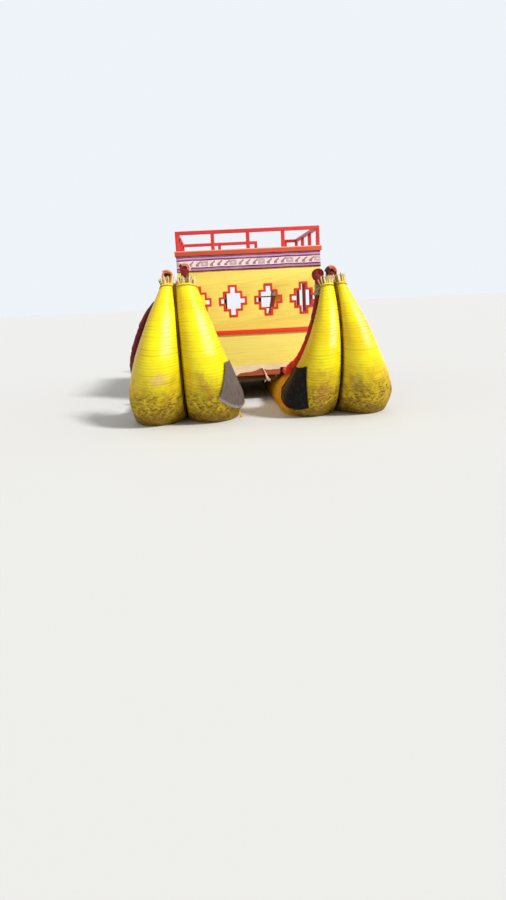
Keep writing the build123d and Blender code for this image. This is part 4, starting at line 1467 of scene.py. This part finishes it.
def band_material():
    """Stripes by the share of the drop, which drifts along the strip, and figures on the pale one."""
    material, tree, shader = new_material("woven_band", 0.9, 0.15)
    shader.inputs["Sheen Weight"].default_value = 0.2
    surface = uv_place(tree)
    along, down = axis_of(tree, surface, "X"), axis_of(tree, surface, "Y")
    drift = times(tree, minus(tree, noise(tree, along, 2.2, 2.0), 0.5), 0.030)
    depth = divided(tree, plus(tree, down, drift), band_drop)
    ramp = node(tree, "ShaderNodeValToRGB", {"Fac": depth})
    ramp.color_ramp.interpolation = "CONSTANT"
    while len(ramp.color_ramp.elements) < len(stripes):
        ramp.color_ramp.elements.new(0.5)
    for element, (start, colour) in zip(ramp.color_ramp.elements, stripes):
        element.position = start
        element.color = srgb(*colour)
    inside = times(tree, less(tree, figure_low, depth), less(tree, depth, figure_low + figure_tall))
    height = divided(tree, minus(tree, depth, figure_low), figure_tall)
    rosy = times(tree, inside, span(tree, noise(tree, along, 5.0, 2.0), 0.45, 0.65, 0.0, 0.45))
    colour = tint(tree, ramp.outputs["Color"], rosy, (240, 180, 180))
    figures = times(tree, band_figures(tree, along, height), inside)
    colour = tint(tree, colour, figures, (112, 70, 78), 0.80)
    faded = span(tree, noise(tree, object_place(tree), 3.0, 4.0), 0.4, 0.7, 0.0, 0.18)
    colour = tint(tree, colour, faded, (232, 206, 214))
    threads = use_group(tree, weave, {"Vector": surface, "Threads": 190.0})
    finish_material(tree, shader, colour, None, threads, 0.0012, 0.5)
    return material


band_mesh, band_length = woven_band()
band = place("band_cloth", band_mesh, band_material(), "woven_band", ["textile_band"])
thicken(band, band_thick, 0.0)
print("band", round(band_length, 3), "m long")

# %% [markdown]
# ## Patches
# Two sheets guard the inner bundles at the stern: grey tarpaulin to port and black rubber to
# starboard. Each is a four-cornered grid, blended between its corners' places along and round the
# bundle. It lies close, with small swells and ragged edges, and the tarpaulin's right foot stands
# off.

# %% Patches
patch_thick = 0.003
patch_columns, patch_rows = 34, 46


def surface_sheet(name, shape, corners, flap, ragged, seed):
    """Sheet on a bundle. corners are (sweep angle, angle round) in degrees, from the top left.

    Its right edge stands off by flap at the foot, growing as the cube of the share across, and its
    left edge by a fifth of that. The grid is turned over to face outwards, so the map's U runs from
    right to left.
    """
    u, w = np.meshgrid(np.linspace(0, 1, patch_columns), np.linspace(0, 1, patch_rows))
    edge = 0.6 * waves(u * 23 + 3, 4, 0.8, 2.0, seed) + 0.8 * waves(u * 90, 5, 0.6, 2.0, seed + 2)
    w_edge = w + ragged * edge * ((w > 0.999) + 0.5 * (w < 0.001))
    corner = np.radians(np.array(corners, float))
    top = corner[0] * (1 - u[..., None]) + corner[1] * u[..., None]
    low = corner[3] * (1 - u[..., None]) + corner[2] * u[..., None]
    angles = top * (1 - w_edge[..., None]) + low * w_edge[..., None]
    s = -(straight_half + sweep_radius * angles[..., 0])
    away = 0.0035 + 0.006 * (0.5 + 0.5 * waves(u * 5 + 3 * w, 5, 1.0, 3.0, seed + 1))
    away = away + flap * (u ** 3 * (0.1 + 0.9 * w ** 2) + 0.2 * (1 - u) ** 6)
    points = on_hull(s, angles[..., 1], away, shape)
    return grid_mesh(name, points[:, ::-1], uv=np.stack([u, w], -1))


def sheet_material(name, colours, rough, streak, threads=None, worn_side=0.0, fray=0.0):
    """Weathered sheet: streaks between two greys, dust in the noise's hollows, an optional weave.

    worn_side is how far the dust covers the sheet's left third, where it has been rubbed, and fray
    how pale its foot is.
    """
    material, tree, shader = new_material(name, rough, 0.15)
    here, surface = object_place(tree), uv_place(tree)
    streaks = span(tree, drawn_noise(tree, surface, streak, 4.0), 0.35, 0.66)
    colour = blend_colour(tree, streaks, srgb(*colours[0]), srgb(*colours[1]))
    dust = span(tree, noise(tree, here, 14.0, 5.0, 0.66), 0.50, 0.74, 0.0, 0.28)
    if worn_side:
        dust = larger(tree, dust, span(tree, axis_of(tree, surface, "X"), 0.55, 0.95, 0.0, worn_side))
    colour = tint(tree, colour, dust, colours[2])
    if fray:
        down = plus(tree, axis_of(tree, surface, "Y"), times(tree, noise(tree, here, 16.0, 3.0), 0.08))
        colour = tint(tree, colour, span(tree, down, 0.93, 1.03, 0.0, fray), (176, 162, 150))
    height = noise(tree, here, 30.0, 4.0)
    if threads:
        height = plus(tree, height, use_group(tree, weave, {"Vector": surface, "Threads": threads}))
    finish_material(tree, shader, colour, None, height, 0.003, 0.5)
    return material


def lay_patch(name, node_name, shape_name, corners, slot, material, flap, ragged, seed):
    mesh = surface_sheet(name, bundles[shape_name], corners, flap, ragged, seed)
    piece = place(name, mesh, material, slot, [node_name])
    thicken(piece, patch_thick, 1.0)
    print(name, "area", round(sum(polygon.area for polygon in mesh.polygons), 4), "m2")
    return piece


tarp_corners = [(70, -32), (66, 15), (27, -1), (53, -74)]
rubber_corners = [(57, 158), (65, 219), (43, 256), (31, 178)]
tarp_colours = [(98, 87, 84), (122, 110, 104), (150, 138, 124)]
rubber_colours = [(9, 7, 9), (20, 16, 19), (92, 76, 50)]
tarp_finish = sheet_material("tarp", tarp_colours, 0.80, (30.0, 4.0, 1.0), threads=160.0, fray=0.8)
rubber_finish = sheet_material("rubber", rubber_colours, 0.7, (3.0, 22.0, 1.0), worn_side=0.75)
tarp = lay_patch("tarp_sheet", "port_tarp_patch", "port_inner", tarp_corners, "tarp", tarp_finish,
                 0.075, 0.020, 31)
rubber = lay_patch("rubber_apron", "starboard_rubber_patch", "starboard_inner", rubber_corners,
                   "rubber_sheet", rubber_finish, 0.0, 0.006, 32)
apron_cord_radius = 0.012
apron_cord_out = 0.014


def apron_cord_path():
    """Tacked along the apron's left and lower edges: straight between corners on the hull's angles."""
    top_left, _, low_right, low_left = np.radians(np.array(rubber_corners, float))
    share = np.linspace(0, 1, 40)[:, None]
    down = top_left + (low_left - top_left) * share
    over = low_left + (low_right - low_left) * share[1:] * 0.55
    sweep, turn = np.concatenate([down, over]).T
    s = -(straight_half + sweep_radius * sweep)
    return on_hull(s, turn, apron_cord_out, bundles["starboard_inner"])


red_cord = cord_material("red_cord", (150, 36, 20), (84, 14, 8))
lay_cords("apron_cord", apron_cord_path()[None], apron_cord_radius, red_cord, "rubber_sheet",
          across_boat + 0.5 * upward, 8)
